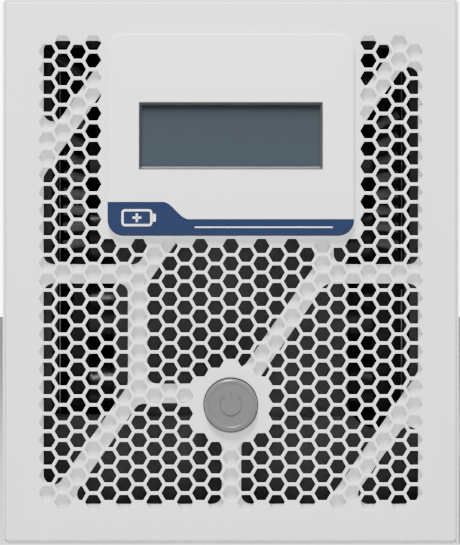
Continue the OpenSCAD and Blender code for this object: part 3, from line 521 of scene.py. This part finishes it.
def cloth_finish():
    """Black glass cloth, with threads that run both ways."""
    tree, surface = start_material("insulating_board")
    place_on = place(tree, "ShaderNodeTexCoord").outputs["Object"]
    weave = place(tree, "ShaderNodeTexWave", {"Vector": place_on, "Scale": 160.0},
                  wave_type="BANDS", bands_direction="Y").outputs["Fac"]
    weft = place(tree, "ShaderNodeTexWave", {"Vector": place_on, "Scale": 160.0},
                 wave_type="BANDS", bands_direction="Z").outputs["Fac"]
    threads = maths(tree, "MAXIMUM", weave, weft)
    tree.links.new(mix_colours(tree, threads, (0.012, 0.013, 0.012), (0.024, 0.026, 0.024)),
                   surface["Base Color"])
    tree.links.new(spread(tree, threads, 0.35, 0.5), surface["Roughness"])
    tree.links.new(bump(tree, threads, 0.00003), surface["Normal"])


circuit_finish()
cloth_finish()
print("board finishes:", [name for name in finishes if "board" in name])


# %% Cell holders
RIB_TIP, RIB_FOOT = 1.3 * MM, 1.6 * MM


def holder_finish():
    """Black plastic with a painted highlight on the front edge of its ribs."""
    tree, surface = start_material("holder_plastic")
    place_on = place(tree, "ShaderNodeTexCoord").outputs["Object"]
    depth = place(tree, "ShaderNodeSeparateXYZ", {0: place_on}).outputs["Y"]
    # Painted highlight: the foremost edge of each rib is painted pale grey for the light it
    # catches.
    painted_highlight_mask = place(tree, "ShaderNodeMapRange", {0: depth, 1: holder_front + RIB_FOOT,
                                              2: holder_front + RIB_TIP}).outputs[0]
    texture = grouped(tree, GRAIN, Scale=2200.0)
    black = mix_colours(tree, texture["Mottle"], (0.008, 0.008, 0.008), (0.013, 0.013, 0.014))
    tree.links.new(mix_colours(tree, painted_highlight_mask, black, (0.16, 0.16, 0.165)), surface["Base Color"])
    tree.links.new(spread(tree, texture["Height"], 0.28, 0.42), surface["Roughness"])
    tree.links.new(bump(tree, texture["Height"], 0.00002), surface["Normal"])
    surface["Specular IOR Level"].default_value = 0.12


holder_finish()
print("finishes:", len(finishes))

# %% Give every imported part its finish
for entry in frame["record"]["subparts"]:
    part = frame["nodes"][entry["node"]]
    part.data.materials.clear()
    part.data.materials.append(finishes[entry["material_slot"]])

# %% [markdown]
# ## The honeycomb grille
# The front is one moulding: a tray-shaped panel pierced by hexagonal cells with a flat
# top and bottom. Modelling hundreds of holes by hand would be slow and uneven, so a
# Geometry Nodes tree lays a cutter on every place of the lattice, leaves out the places
# under the display and round the button, and cuts them all from the blank at once. The
# cutter flares at both ends, which gives every cell its small moulded lead-in.

# %% Blank and cutters
PANEL_WALL, SIDE_WALL, PANEL_ROLL = 2.6, 2.4, 0.9
PANEL_CORNER = 1.2 * MM
PANEL_DEPTH = (front_high.y - front_low.y) / MM
panel_size = (front_high.x - front_low.x, front_high.z - front_low.z)
panel_mid = (0.0, (front_low.z + front_high.z) / 2)


def panel_blank():
    """A shallow tray with a rolled front edge, open to the rear."""
    width, height = panel_size
    rings = [rounded_ring(panel_mid, width, height, PANEL_CORNER, PANEL_DEPTH * MM)]
    for inset, depth in rolled_edge(PANEL_ROLL):
        rings.append(rounded_ring(panel_mid, width - 2 * inset * MM, height - 2 * inset * MM,
                                  PANEL_CORNER, depth * MM))
    tray = loft("panel", rings)
    inner = [rounded_ring(panel_mid, width - 2 * SIDE_WALL * MM, height - 2 * SIDE_WALL * MM,
                          PANEL_CORNER, d * MM) for d in (PANEL_DEPTH + 1, PANEL_WALL)]
    return cut_away(tray, loft("hollow", inner))


def hexagon_cutter(across_flats, flare):
    """A six-sided plug, a little wider at both of its ends, centred on the origin."""
    corner = across_flats / math.sqrt(3)
    levels = [(-1.0, corner + flare), (0.0, corner + flare), (flare / MM, corner),
              (PANEL_WALL - flare / MM, corner), (PANEL_WALL, corner + flare),
              (PANEL_WALL + 1, corner + flare)]
    points, faces = [], []
    for depth, radius in levels:
        for k in range(6):
            points.append((radius * math.cos(math.tau * k / 6), depth * MM,
                           radius * math.sin(math.tau * k / 6)))
    for level in range(len(levels) - 1):
        for k in range(6):
            a, b = level * 6 + k, level * 6 + (k + 1) % 6
            faces.append((a, b, b + 6, a + 6))
    faces.append(tuple(range(6)))
    faces.append(tuple(range(len(points) - 6, len(points))))
    return mesh_from("hexagon_cutter", points, faces)


print("panel size in mm:", [round(v / MM, 1) for v in panel_size])

# %% The lattice as a node tree
def lattice_tree():
    """Cutters on a staggered grid, fewer under the display and round the button, cut out."""
    tree = bpy.data.node_groups.new("honeycomb_lattice", "GeometryNodeTree")
    for label, kind in [("Blank", "NodeSocketGeometry"), ("Cutter", "NodeSocketObject"),
                        ("Pitch", "NodeSocketFloat"), ("Columns", "NodeSocketInt"),
                        ("Rows", "NodeSocketInt"), ("Rows Below", "NodeSocketInt"),
                        ("Button Height", "NodeSocketFloat"), ("Button Reach", "NodeSocketFloat"),
                        ("Plate Edge", "NodeSocketFloat"), ("Plate Half Width", "NodeSocketFloat"),
                        ("Face Depth", "NodeSocketFloat"), ("Finish", "NodeSocketMaterial")]:
        tree.interface.new_socket(label, in_out="INPUT", socket_type=kind)
    tree.interface.new_socket("Grille", in_out="OUTPUT", socket_type="NodeSocketGeometry")
    given = tree.nodes.new("NodeGroupInput").outputs
    step = maths(tree, "MULTIPLY", given["Pitch"], math.sqrt(3) / 2)
    across = maths(tree, "MULTIPLY", step, maths(tree, "SUBTRACT", given["Columns"], 1.0))
    up = maths(tree, "MULTIPLY", given["Pitch"], maths(tree, "SUBTRACT", given["Rows"], 1.0))
    grid = place(tree, "GeometryNodeMeshGrid", {"Size X": across, "Size Y": up,
                                                "Vertices X": given["Columns"],
                                                "Vertices Y": given["Rows"]})
    spot = place(tree, "ShaderNodeSeparateXYZ",
                 {0: tree.nodes.new("GeometryNodeInputPosition").outputs[0]})
    column = maths(tree, "ROUND", maths(tree, "DIVIDE", spot.outputs["X"], step))
    odd = maths(tree, "MODULO", maths(tree, "ABSOLUTE", column), 2.0)
    lift = maths(tree, "MULTIPLY", maths(tree, "MULTIPLY", odd, 0.5), given["Pitch"])
    lowest = maths(tree, "MULTIPLY", given["Rows Below"], given["Pitch"])
    from_foot = maths(tree, "ADD", spot.outputs["Y"], maths(tree, "MULTIPLY", up, 0.5))
    over_button = maths(tree, "ADD", maths(tree, "SUBTRACT", from_foot, lowest), lift)
    height = maths(tree, "ADD", over_button, given["Button Height"])
    point = place(tree, "ShaderNodeCombineXYZ",
                  {"X": spot.outputs["X"], "Y": given["Face Depth"], "Z": height}).outputs[0]
    moved = place(tree, "GeometryNodeSetPosition", {"Geometry": grid.outputs["Mesh"],
                                                    "Position": point})
    at = place(tree, "ShaderNodeSeparateXYZ",
               {0: tree.nodes.new("GeometryNodeInputPosition").outputs[0]}).outputs
    side = maths(tree, "ABSOLUTE", at["X"])
    rise = maths(tree, "SUBTRACT", at["Z"], given["Button Height"])
    squares = maths(tree, "ADD", maths(tree, "POWER", side, 2.0), maths(tree, "POWER", rise, 2.0))
    near = maths(tree, "LESS_THAN", maths(tree, "SQRT", squares), given["Button Reach"])
    beside = maths(tree, "LESS_THAN", side, given["Plate Half Width"])
    above = maths(tree, "GREATER_THAN", at["Z"], given["Plate Edge"])
    under_plate = maths(tree, "MULTIPLY", beside, above)
    short = maths(tree, "LESS_THAN", rise,
                  maths(tree, "MULTIPLY", given["Pitch"],
                        maths(tree, "SUBTRACT", 0.25, given["Rows Below"])))
    barred = maths(tree, "MAXIMUM", maths(tree, "MAXIMUM", near, under_plate), short)
    kept = place(tree, "GeometryNodeDeleteGeometry",
                 {"Geometry": moved.outputs[0],
                  "Selection": maths(tree, "GREATER_THAN", barred, 0.5)}, domain="POINT")
    cutter = place(tree, "GeometryNodeObjectInfo", {"Object": given["Cutter"]})
    many = place(tree, "GeometryNodeInstanceOnPoints",
                 {"Points": kept.outputs[0], "Instance": cutter.outputs["Geometry"]})
    solid = place(tree, "GeometryNodeRealizeInstances", {"Geometry": many.outputs[0]})
    cut = place(tree, "GeometryNodeMeshBoolean", operation="DIFFERENCE", solver="EXACT")
    tree.links.new(given["Blank"], cut.inputs["Mesh 1"])
    tree.links.new(solid.outputs[0], cut.inputs["Mesh 2"])
    done = place(tree, "GeometryNodeSetMaterial", {"Geometry": cut.outputs["Mesh"],
                                                   "Material": given["Finish"]})
    place(tree, "NodeGroupOutput", {"Grille": done.outputs[0]})
    return tree


LATTICE = lattice_tree()
print("lattice nodes:", len(LATTICE.nodes))

# %% Run a node tree and keep its mesh
def run_tree(name, tree, mesh, values):
    """Evaluate a tree on a host mesh with named inputs and return the plain mesh."""
    host = bpy.data.objects.new(name, mesh)
    scene.collection.objects.link(host)
    modifier = host.modifiers.new("nodes", "NODES")
    modifier.node_group = tree
    for item in tree.interface.items_tree:
        if item.in_out == "INPUT" and item.name in values:
            modifier[item.identifier] = values[item.name]
    graph = bpy.context.evaluated_depsgraph_get()
    result = bpy.data.meshes.new_from_object(host.evaluated_get(graph))
    bpy.data.objects.remove(host)
    return result


def hidden_tool(mesh):
    """A helper object that a tree copies from; it is removed again afterwards."""
    tool = bpy.data.objects.new(mesh.name, mesh)
    scene.collection.objects.link(tool)
    return tool


print("node trees can run")

# %% Cut the grille
PITCH = 7.2 * MM
ACROSS_FLATS, FLARE = 6.0 * MM, 0.22 * MM
BUTTON_REACH, PLATE_REACH = 2.2, 8.5
PLATE_OVERLAP = 2 * MM
cutter = hidden_tool(hexagon_cutter(ACROSS_FLATS, FLARE))
grille = run_tree("front_panel_moulding", LATTICE, panel_blank(), {
    "Cutter": cutter, "Pitch": PITCH, "Columns": 25, "Rows": 27, "Rows Below": 6,
    "Button Height": button_z, "Button Reach": BUTTON_REACH * PITCH,
    "Plate Edge": plate_low.z - PLATE_OVERLAP,
    "Plate Half Width": PLATE_REACH * PITCH * math.sqrt(3) / 2,
    "Face Depth": front_y, "Finish": finishes["white_plastic"]})
bpy.data.objects.remove(cutter)
window_mid = (0.0, (rim_low.z + rim_high.z) / 2)
rim_size = (rim_high.x - rim_low.x, rim_high.z - rim_low.z)
WINDOW_CORNER = 0.3 * MM
grille = cut_away(grille, loft("window_hole", [
    rounded_ring(window_mid, rim_size[0] - MM, rim_size[1] - MM, WINDOW_CORNER, d * MM)
    for d in (-1, PANEL_WALL + 1)]))
BUTTON_HOLE, HOLE_ROLL = 11.2 * MM, 0.3
grille = cut_away(grille, loft("button_hole", [
    circle_ring((0, button_z), BUTTON_HOLE + extra * MM, d * MM)
    for d, extra in ((-1, HOLE_ROLL), (0, HOLE_ROLL), (HOLE_ROLL, 0), (PANEL_WALL + 1, 0))]))
finished_piece("front_panel_moulding", grille, "case", "white_plastic", ["front_panel"], 30)
print("grille faces:", len(grille.polygons))

# %% [markdown]
# ## Softened mouldings and folded sheet
# No real edge is perfectly sharp. Mouldings leave the tool with a small radius and
# folded sheet has one too, and that radius is what catches a line of light. These parts
# need nothing else, so each is a merged copy with its edges rounded by a set amount.

# %% Soften the plain parts
softened("backing_frame", "backing_frame_moulding", 0.35 * MM, "white_plastic")
softened("outer_cover", "folded_cover", 0.18 * MM, "white_steel")
softened("chassis_base", "folded_base", 0.18 * MM, "white_steel")
softened("rear_panel", "pressed_rear_panel", 0.15 * MM, "white_steel")
softened("inner_bulkhead", "folded_bulkhead", 0.20 * MM, "dark_steel")
softened("breaker_body", "breaker_moulding", 0.35 * MM, "black_plastic")
softened("breaker_lever", "breaker_lever_moulding", 0.5 * MM, "light_plastic", "breaker_lever", 3)
softened("power_connector", "power_connector_moulding", 0.5 * MM, "connector_grey")
softened("comm_sockets", "socket_shells", 0.2 * MM, "zinc_steel")
for side in ("left", "right"):
    softened(f"fan_frame_{side}", f"fan_frame_{side}_moulding", 0.3 * MM, "black_plastic")
    softened(f"cell_holder_{side}", f"cell_holder_{side}_moulding", 0.2 * MM, "holder_plastic")
print("softened parts:", pieces_made[1:])

# %% [markdown]
# ## The display plate
# The plate is a satin moulding clipped over the grille. Its outer edge rolls over into
# the face, and its window is a plain cut. It is made as one closed stack of outlines:
# up the outer side, over the roll, across the face to the window and back down inside.

# %% Display plate
PLATE_CORNER, WINDOW_GAP = 6.5 * MM, 0.1 * MM
PLATE_ROLL = 0.8
plate_size = (plate_high.x - plate_low.x, plate_high.z - plate_low.z)
plate_mid = (0.0, (plate_low.z + plate_high.z) / 2)
plate_front = plate_low.y - front_y


def plate_rings(grow, front):
    """Outlines up the plate's side and over its rolled edge, grown by a skin's thickness."""
    rings = []
    for inset, depth in rolled_edge(PLATE_ROLL):
        side = 2 * (grow - inset * MM)
        rings.append(rounded_ring(plate_mid, plate_size[0] + side, plate_size[1] + side,
                                  PLATE_CORNER + grow - inset * MM, front + depth * MM))
    return rings


opening = [rounded_ring(window_mid, rim_size[0] + WINDOW_GAP, rim_size[1] + WINDOW_GAP,
                        WINDOW_CORNER, d) for d in (plate_front, 0)]
foot = [rounded_ring(plate_mid, *plate_size, PLATE_CORNER, 0)]
plate_mesh = loft("display_plate_moulding", foot + plate_rings(0, plate_front) + opening, True)
finished_piece("display_plate_moulding", plate_mesh, "case", "plate_plastic", ["display_plate"])
print("plate size in mm:", [round(v / MM, 1) for v in plate_size])

# %% [markdown]
# ## The printed band
# A blue film covers the plate's lower edge and wraps over the roll. Its upper edge drops
# from a high part at the left to a low part at the right through an easy double curve.
# The real band names the product; here it has a plain battery pictogram and a rule.

# %% Film
FILM, LOW_EDGE = 0.08 * MM, 132.4 * MM
SWING_LEFT, SWING_RIGHT = -27.6 * MM, -17.0 * MM


def extruded(name, outline, front, back):
    """A flat outline across the case, given a thickness between two depths."""
    return loft(name, [[(x, front_y + depth, z) for x, z in outline] for depth in (front, back)])


def band_outline(low_edge, high_edge, steps=24):
    """The region under the band's upper edge."""
    outline = [(-plate_size[0], 0), (plate_size[0], 0), (plate_size[0], low_edge)]
    for i in range(steps + 1):
        part = i / steps
        outline.append((SWING_RIGHT + (SWING_LEFT - SWING_RIGHT) * part,
                        low_edge + (high_edge - low_edge) * (1 - math.cos(math.pi * part)) / 2))
    return outline + [(-plate_size[0], high_edge)]


film_skin = plate_rings(FILM, plate_front - FILM)
band_block = extruded("band", band_outline(LOW_EDGE, band_top), plate_front - 2 * MM, -0.5 * MM)
film = cut_away(loft("film", film_skin), band_block, "INTERSECT")
finished_piece("printed_band", film, "case", "blue_film", ["display_band"])
print("band height at the left in mm:", round((band_top - plate_low.z) / MM, 1))


# %% Pictogram
def ring_outline_pair(centre, width, height, radius, wall, front, back):
    """A closed rounded frame of a given wall, as a loft that joins up."""
    inner = (width - 2 * wall, height - 2 * wall, radius - wall)
    sizes = [(width, height, radius, back), (width, height, radius, front),
             (*inner, front), (*inner, back)]
    return [rounded_ring(centre, w, h, r, depth) for w, h, r, depth in sizes]


def box_outline(centre, width, height):
    """A plain rectangle across the case."""
    return [(centre[0] + sx * width / 2, centre[1] + sz * height / 2)
            for sx, sz in ((-1, -1), (1, -1), (1, 1), (-1, 1))]


def joined(name, meshes):
    """One mesh from several."""
    sheet = bmesh.new()
    for mesh in meshes:
        sheet.from_mesh(mesh)
    result = bpy.data.meshes.new(name)
    sheet.to_mesh(result)
    sheet.free()
    return result


MARK_RISE, LINE_WIDTH, CROSS_ARM = 0.05 * MM, 0.75 * MM, 3.4 * MM
mark_front, mark_back = plate_front - FILM - MARK_RISE, plate_front - FILM / 2
sign = (-38.2 * MM, 132.9 * MM)
marks = [loft("outline", ring_outline_pair(sign, 12.4 * MM, 6.8 * MM, 1.3 * MM, LINE_WIDTH,
                                           mark_front, mark_back), True)]
for centre, width, height in [((sign[0] + 7.0 * MM, sign[1]), 1.3 * MM, 3.0 * MM),
                              (sign, CROSS_ARM, LINE_WIDTH), (sign, LINE_WIDTH, CROSS_ARM),
                              ((13.4 * MM, 129.0 * MM), 56 * MM, 0.4 * MM)]:
    marks.append(extruded("mark", box_outline(centre, width, height), mark_front, mark_back))
finished_piece("band_marks", joined("band_marks", marks), "case", "plate_plastic")
print("band pieces are on the plate")

# %% [markdown]
# ## The window
# A dark frame drops into the plate's opening. Its faces slope inwards to the lens, so
# the upper slope is always in shade and the lower one catches the light.

# %% Window frame and lens
FRAME_WALL, FRAME_CORNER = 1.3 * MM, 0.35 * MM
LIP, LIP_END = 0.15 * MM, 0.45 * MM
LENS_GAP, LENS_BEVEL = 0.02 * MM, 0.1 * MM
rim_front = rim_low.y - front_y
lens_front = lens_low.y - front_y


def rim_ring(inset, depth):
    """The window's outline, drawn in by an inset, at one depth."""
    return rounded_ring(window_mid, rim_size[0] - 2 * inset, rim_size[1] - 2 * inset,
                        FRAME_CORNER, depth)


window_rings = [rim_ring(0, 0), rim_ring(0, rim_front + LIP), rim_ring(LIP, rim_front),
                rim_ring(LIP_END, rim_front), rim_ring(FRAME_WALL, lens_front - 0.05 * MM),
                rim_ring(FRAME_WALL, 0)]
finished_piece("window_frame_moulding", loft("window_frame_moulding", window_rings, True), "case",
               "window_plastic", ["window_frame"], 20)
lens_rings = [rim_ring(FRAME_WALL - LENS_GAP, lens_high.y - front_y),
              rim_ring(FRAME_WALL - LENS_GAP, lens_front + LENS_BEVEL),
              rim_ring(FRAME_WALL + LENS_BEVEL, lens_front)]
finished_piece("lens_slab", loft("lens_slab", lens_rings), "case", "window_lens",
               ["window_lens"], 20)
print("window depth in mm:", round((lens_front - rim_front) / MM, 2))

# %% [markdown]
# ## The power button
# The cap is turned round one axis: a flat satin face, a polished bead round it and a
# straight skirt that ends in a flange behind the sleeve's lip. The power symbol, a bar
# in a broken circle, is engraved a quarter of a millimetre deep.

# %% Button cap
FLANGE, FLANGE_WALL, BORE_WALL, CAP_TOP, BEAD = 1.3, 1.55, 1.8, 2.2, 1.3
FACE_DROP = 0.40
button_r = (button_high.x - button_low.x) / 2 - FLANGE * MM
cap_front = button_low.y - front_y
flange_back = button_high.y - front_y
cap_r = button_r / MM


def bead_profile(steps=10):
    """Radii and depths in mm from the flat face over the bead to the skirt."""
    profile = [(cap_r - 2.3, FACE_DROP), (cap_r - 2.1, 0.36), (cap_r - 1.9, 0.26),
               (cap_r - 1.65, 0.12)]
    for i in range(steps + 1):
        turn = math.pi / 2 * i / steps
        profile.append((cap_r - BEAD + BEAD * math.sin(turn), BEAD * (1 - math.cos(turn))))
    return profile


cap_rings = [circle_ring((0, button_z), r * MM, cap_front + d * MM, 96) for r, d in bead_profile()]
flange_front = flange_back - FLANGE_WALL * MM
for radius, depth in [(cap_r, flange_front), (cap_r + FLANGE, flange_front),
                      (cap_r + FLANGE, flange_back), (cap_r - BORE_WALL, flange_back),
                      (cap_r - BORE_WALL, cap_front + CAP_TOP * MM)]:
    cap_rings.append(circle_ring((0, button_z), radius * MM, depth, 96))
cap = loft("button_cap", cap_rings)
face_depth = cap_front + FACE_DROP * MM


def arc_outline(radius, wall, start, end, steps=40):
    """A band along a circle round the button's axis, between two angles in degrees."""
    turns = [math.radians(start + (end - start) * i / steps) for i in range(steps + 1)]
    outer = [((radius + wall / 2) * math.cos(t), button_z + (radius + wall / 2) * math.sin(t))
             for t in turns]
    inner = [((radius - wall / 2) * math.cos(t), button_z + (radius - wall / 2) * math.sin(t))
             for t in reversed(turns)]
    return outer + inner


ENGRAVED, STROKE = 0.25 * MM, 0.5 * MM
for outline in (arc_outline(4.4 * MM, STROKE, 130, 410),
                box_outline((0, button_z + 3.7 * MM), STROKE, 3.8 * MM)):
    cap = cut_away(cap, extruded("symbol", outline, face_depth - MM, face_depth + ENGRAVED))
finished_piece("button_cap", cap, "power_button", "button_grey", ["power_button"], 32)
print("button radius in mm:", round(button_r / MM, 2))

# %% [markdown]
# ## Screws
# Every screw of one kind is the same bought part, so one pan head with a cross recess is
# turned and cut, and a node tree puts a copy at each place. The places are the middles
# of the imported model's own screws.

# %% Screw tree
def screw_tree():
    """A copy of one screw at every place, each turned by its own amount."""
    tree = bpy.data.node_groups.new("screws_at_places", "GeometryNodeTree")
    for label, kind in [("Places", "NodeSocketGeometry"), ("Screw", "NodeSocketObject"),
                        ("Seed", "NodeSocketInt"), ("Finish", "NodeSocketMaterial")]:
        tree.interface.new_socket(label, in_out="INPUT", socket_type=kind)
    tree.interface.new_socket("Screws", in_out="OUTPUT", socket_type="NodeSocketGeometry")
    given = tree.nodes.new("NodeGroupInput").outputs
    head = place(tree, "GeometryNodeObjectInfo", {"Object": given["Screw"]})
    turn = place(tree, "FunctionNodeRandomValue", {"Seed": given["Seed"]}, data_type="FLOAT")
    turn.inputs["Min"].default_value, turn.inputs["Max"].default_value = 0.0, math.tau
    turned = place(tree, "ShaderNodeCombineXYZ", {"Y": turn.outputs["Value"]})
    many = place(tree, "GeometryNodeInstanceOnPoints",
                 {"Points": given["Places"], "Instance": head.outputs["Geometry"],
                  "Rotation": turned.outputs[0]})
    solid = place(tree, "GeometryNodeRealizeInstances", {"Geometry": many.outputs[0]})
    done = place(tree, "GeometryNodeSetMaterial", {"Geometry": solid.outputs[0],
                                                   "Material": given["Finish"]})
    place(tree, "NodeGroupOutput", {"Screws": done.outputs[0]})
    return tree


SCREWS = screw_tree()
print("screw tree nodes:", len(SCREWS.nodes))


# %% Places and one screw
def loose_boxes(node):
    """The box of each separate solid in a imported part."""
    sheet = bmesh.new()
    sheet.from_mesh(frame["nodes"][node].data)
    bmesh.ops.remove_doubles(sheet, verts=sheet.verts, dist=SAME_POINT)
    waiting, boxes = set(sheet.verts), []
    while waiting:
        island, edge = set(), [waiting.pop()]
        while edge:
            vertex = edge.pop()
            island.add(vertex)
            for link in vertex.link_edges:
                other = link.other_vert(vertex)
                if other in waiting:
                    waiting.remove(other)
                    edge.append(other)
        corners = [v.co for v in island]
        boxes.append((Vector([min(c[i] for c in corners) for i in range(3)]),
                      Vector([max(c[i] for c in corners) for i in range(3)])))
    sheet.free()
    return sorted(boxes, key=lambda box: (round(box[0].x, 5), round(box[0].z, 5)))


def pan_head(head_r, head_h, shank_r, shank):
    """A pan-head screw drawn along the depth, ready to be put down by its head's underside."""
    profile = [(shank_r * 0.7, -shank), (shank_r, -shank + 0.5), (shank_r, 0), (head_r, 0)]
    for i in range(7):
        turn = math.pi / 2 * i / 6
        profile.append((head_r - 0.35 * head_h + 0.35 * head_h * math.cos(turn) - 0.05 * i,
                        0.55 * head_h + 0.45 * head_h * math.sin(turn)))
    rings = [[(r * MM * math.cos(math.tau * k / 32), y * MM, r * MM * math.sin(math.tau * k / 32))
              for k in range(32)] for r, y in profile]
    head = loft("screw", rings)
    arm, slot, floor = head_r * 0.55 * MM, head_r * 0.14 * MM, head_h * 0.45 * MM
    for wide, high in ((arm, slot), (slot, arm)):
        rings = [[(sx * wide, y, sz * high) for sx, sz in ((-1, -1), (1, -1), (1, 1), (-1, 1))]
                 for y in (floor, head_h * 2 * MM)]
        head = cut_away(head, loft("recess", rings))
    return head


print("screw tools are ready")

# %% Place the screws
for node, seed, shank_r, head_h in (("rear_screws", 3, 1.5, 1.9), ("fan_screws", 5, 1.9, 2.0)):
    boxes = loose_boxes(node)
    low, high = boxes[0]
    head_r = (high.x - low.x) / 2 / MM
    under = high.y - head_h * MM
    spots = mesh_from("spots", [((b[0].x + b[1].x) / 2, under, (b[0].z + b[1].z) / 2)
                                for b in boxes], [])
    screw = hidden_tool(pan_head(head_r, head_h, shank_r, (under - low.y) / MM))
    screws = run_tree(node, SCREWS, spots, {"Screw": screw, "Seed": seed,
                                            "Finish": finishes["zinc_steel"]})
    bpy.data.objects.remove(screw)
    finished_piece(f"{node}_turned", screws, "case", "zinc_steel", [node])
    print(node, len(boxes), "screws")

# %% [markdown]
# ## Floor, light and camera
# The case stands on a plain pale floor. A large soft light high in front models the
# rolled edges and gives the grille's cells their shading from top to bottom, a weak one
# at the right opens the shadows, and a brighter patch on the far wall keeps the
# background clean. The camera looks straight at the grille, as a catalogue view does.

# %% Floor and light
ROOM, PATCH, OVERHEAD = 0.14, 9.0, 0.3
FLOOR_REACH, FLOOR_TONE = 6, (0.62, 0.62, 0.62, 1)


def studio_world():
    """An even pale room with a brighter patch on the wall behind the case."""
    world = bpy.data.worlds.new("studio")
    world.use_nodes = True
    tree = world.node_tree
    towards = place(tree, "ShaderNodeTexCoord").outputs["Generated"]
    facing = place(tree, "ShaderNodeSeparateXYZ", {0: towards}).outputs["Y"]
    rise = place(tree, "ShaderNodeSeparateXYZ", {0: towards}).outputs["Z"]
    patch = place(tree, "ShaderNodeMapRange", {0: facing, 1: 0.970, 2: 0.985, 3: ROOM, 4: PATCH})
    sky = place(tree, "ShaderNodeMapRange", {0: rise, 1: -0.2, 2: 0.9, 3: 0.0, 4: OVERHEAD})
    strength = maths(tree, "ADD", patch.outputs[0], sky.outputs[0])
    tree.links.new(strength, tree.nodes["Background"].inputs["Strength"])
    tree.nodes["Background"].inputs["Color"].default_value = (1, 1, 1, 1)
    scene.world = world


def area_light(name, place_at, look_at, size, power):
    """A square soft light that faces a point."""
    light = bpy.data.lights.new(name, "AREA")
    light.shape, light.size, light.energy = "SQUARE", size, power
    lamp = bpy.data.objects.new(name, light)
    lamp.location = place_at
    lamp.rotation_euler = (Vector(look_at) - Vector(place_at)).to_track_quat("-Z", "Y").to_euler()
    scene.collection.objects.link(lamp)


floor_mesh = mesh_from("floor", [(FLOOR_REACH * sx, FLOOR_REACH * sy, 0) for sx, sy in
                                 ((-1, -1), (1, -1), (1, 1), (-1, 1))], [(0, 1, 2, 3)])
floor = bpy.data.objects.new("floor", floor_mesh)
scene.collection.objects.link(floor)
tree, surface = start_material("pale_floor")
surface["Base Color"].default_value = FLOOR_TONE
surface["Roughness"].default_value = 0.8
floor_mesh.materials.append(finishes["pale_floor"])
studio_world()
middle = Vector((0, front_y, case_high.z / 2))
area_light("key", (-0.15, front_y - 0.62, 1.25), middle, 0.45, 56)
area_light("fill", (0.9, front_y - 1.3, 0.9), middle, 0.8, 4)
print("lights:", len(bpy.data.lights))

# %% Camera
camera = bpy.data.objects.new("camera", bpy.data.cameras.new("camera"))
scene.collection.objects.link(camera)
scene.camera = camera
DISTANCE, FRAME_HEIGHT, SENSOR = 1.2, 222.1 * MM, 24
camera.data.sensor_fit = "VERTICAL"
camera.data.sensor_height = SENSOR
camera.data.lens = SENSOR * DISTANCE / FRAME_HEIGHT
camera.location = (-0.33 * MM, front_y - DISTANCE, 110.6 * MM)
camera.rotation_euler = (math.pi / 2, 0, 0)
print("lens in mm:", round(camera.data.lens, 1))

# %% [markdown]
# ## Pieces made
# The number of finished pieces is printed.

# %% Count the pieces
print("pieces made:", len(pieces_made))
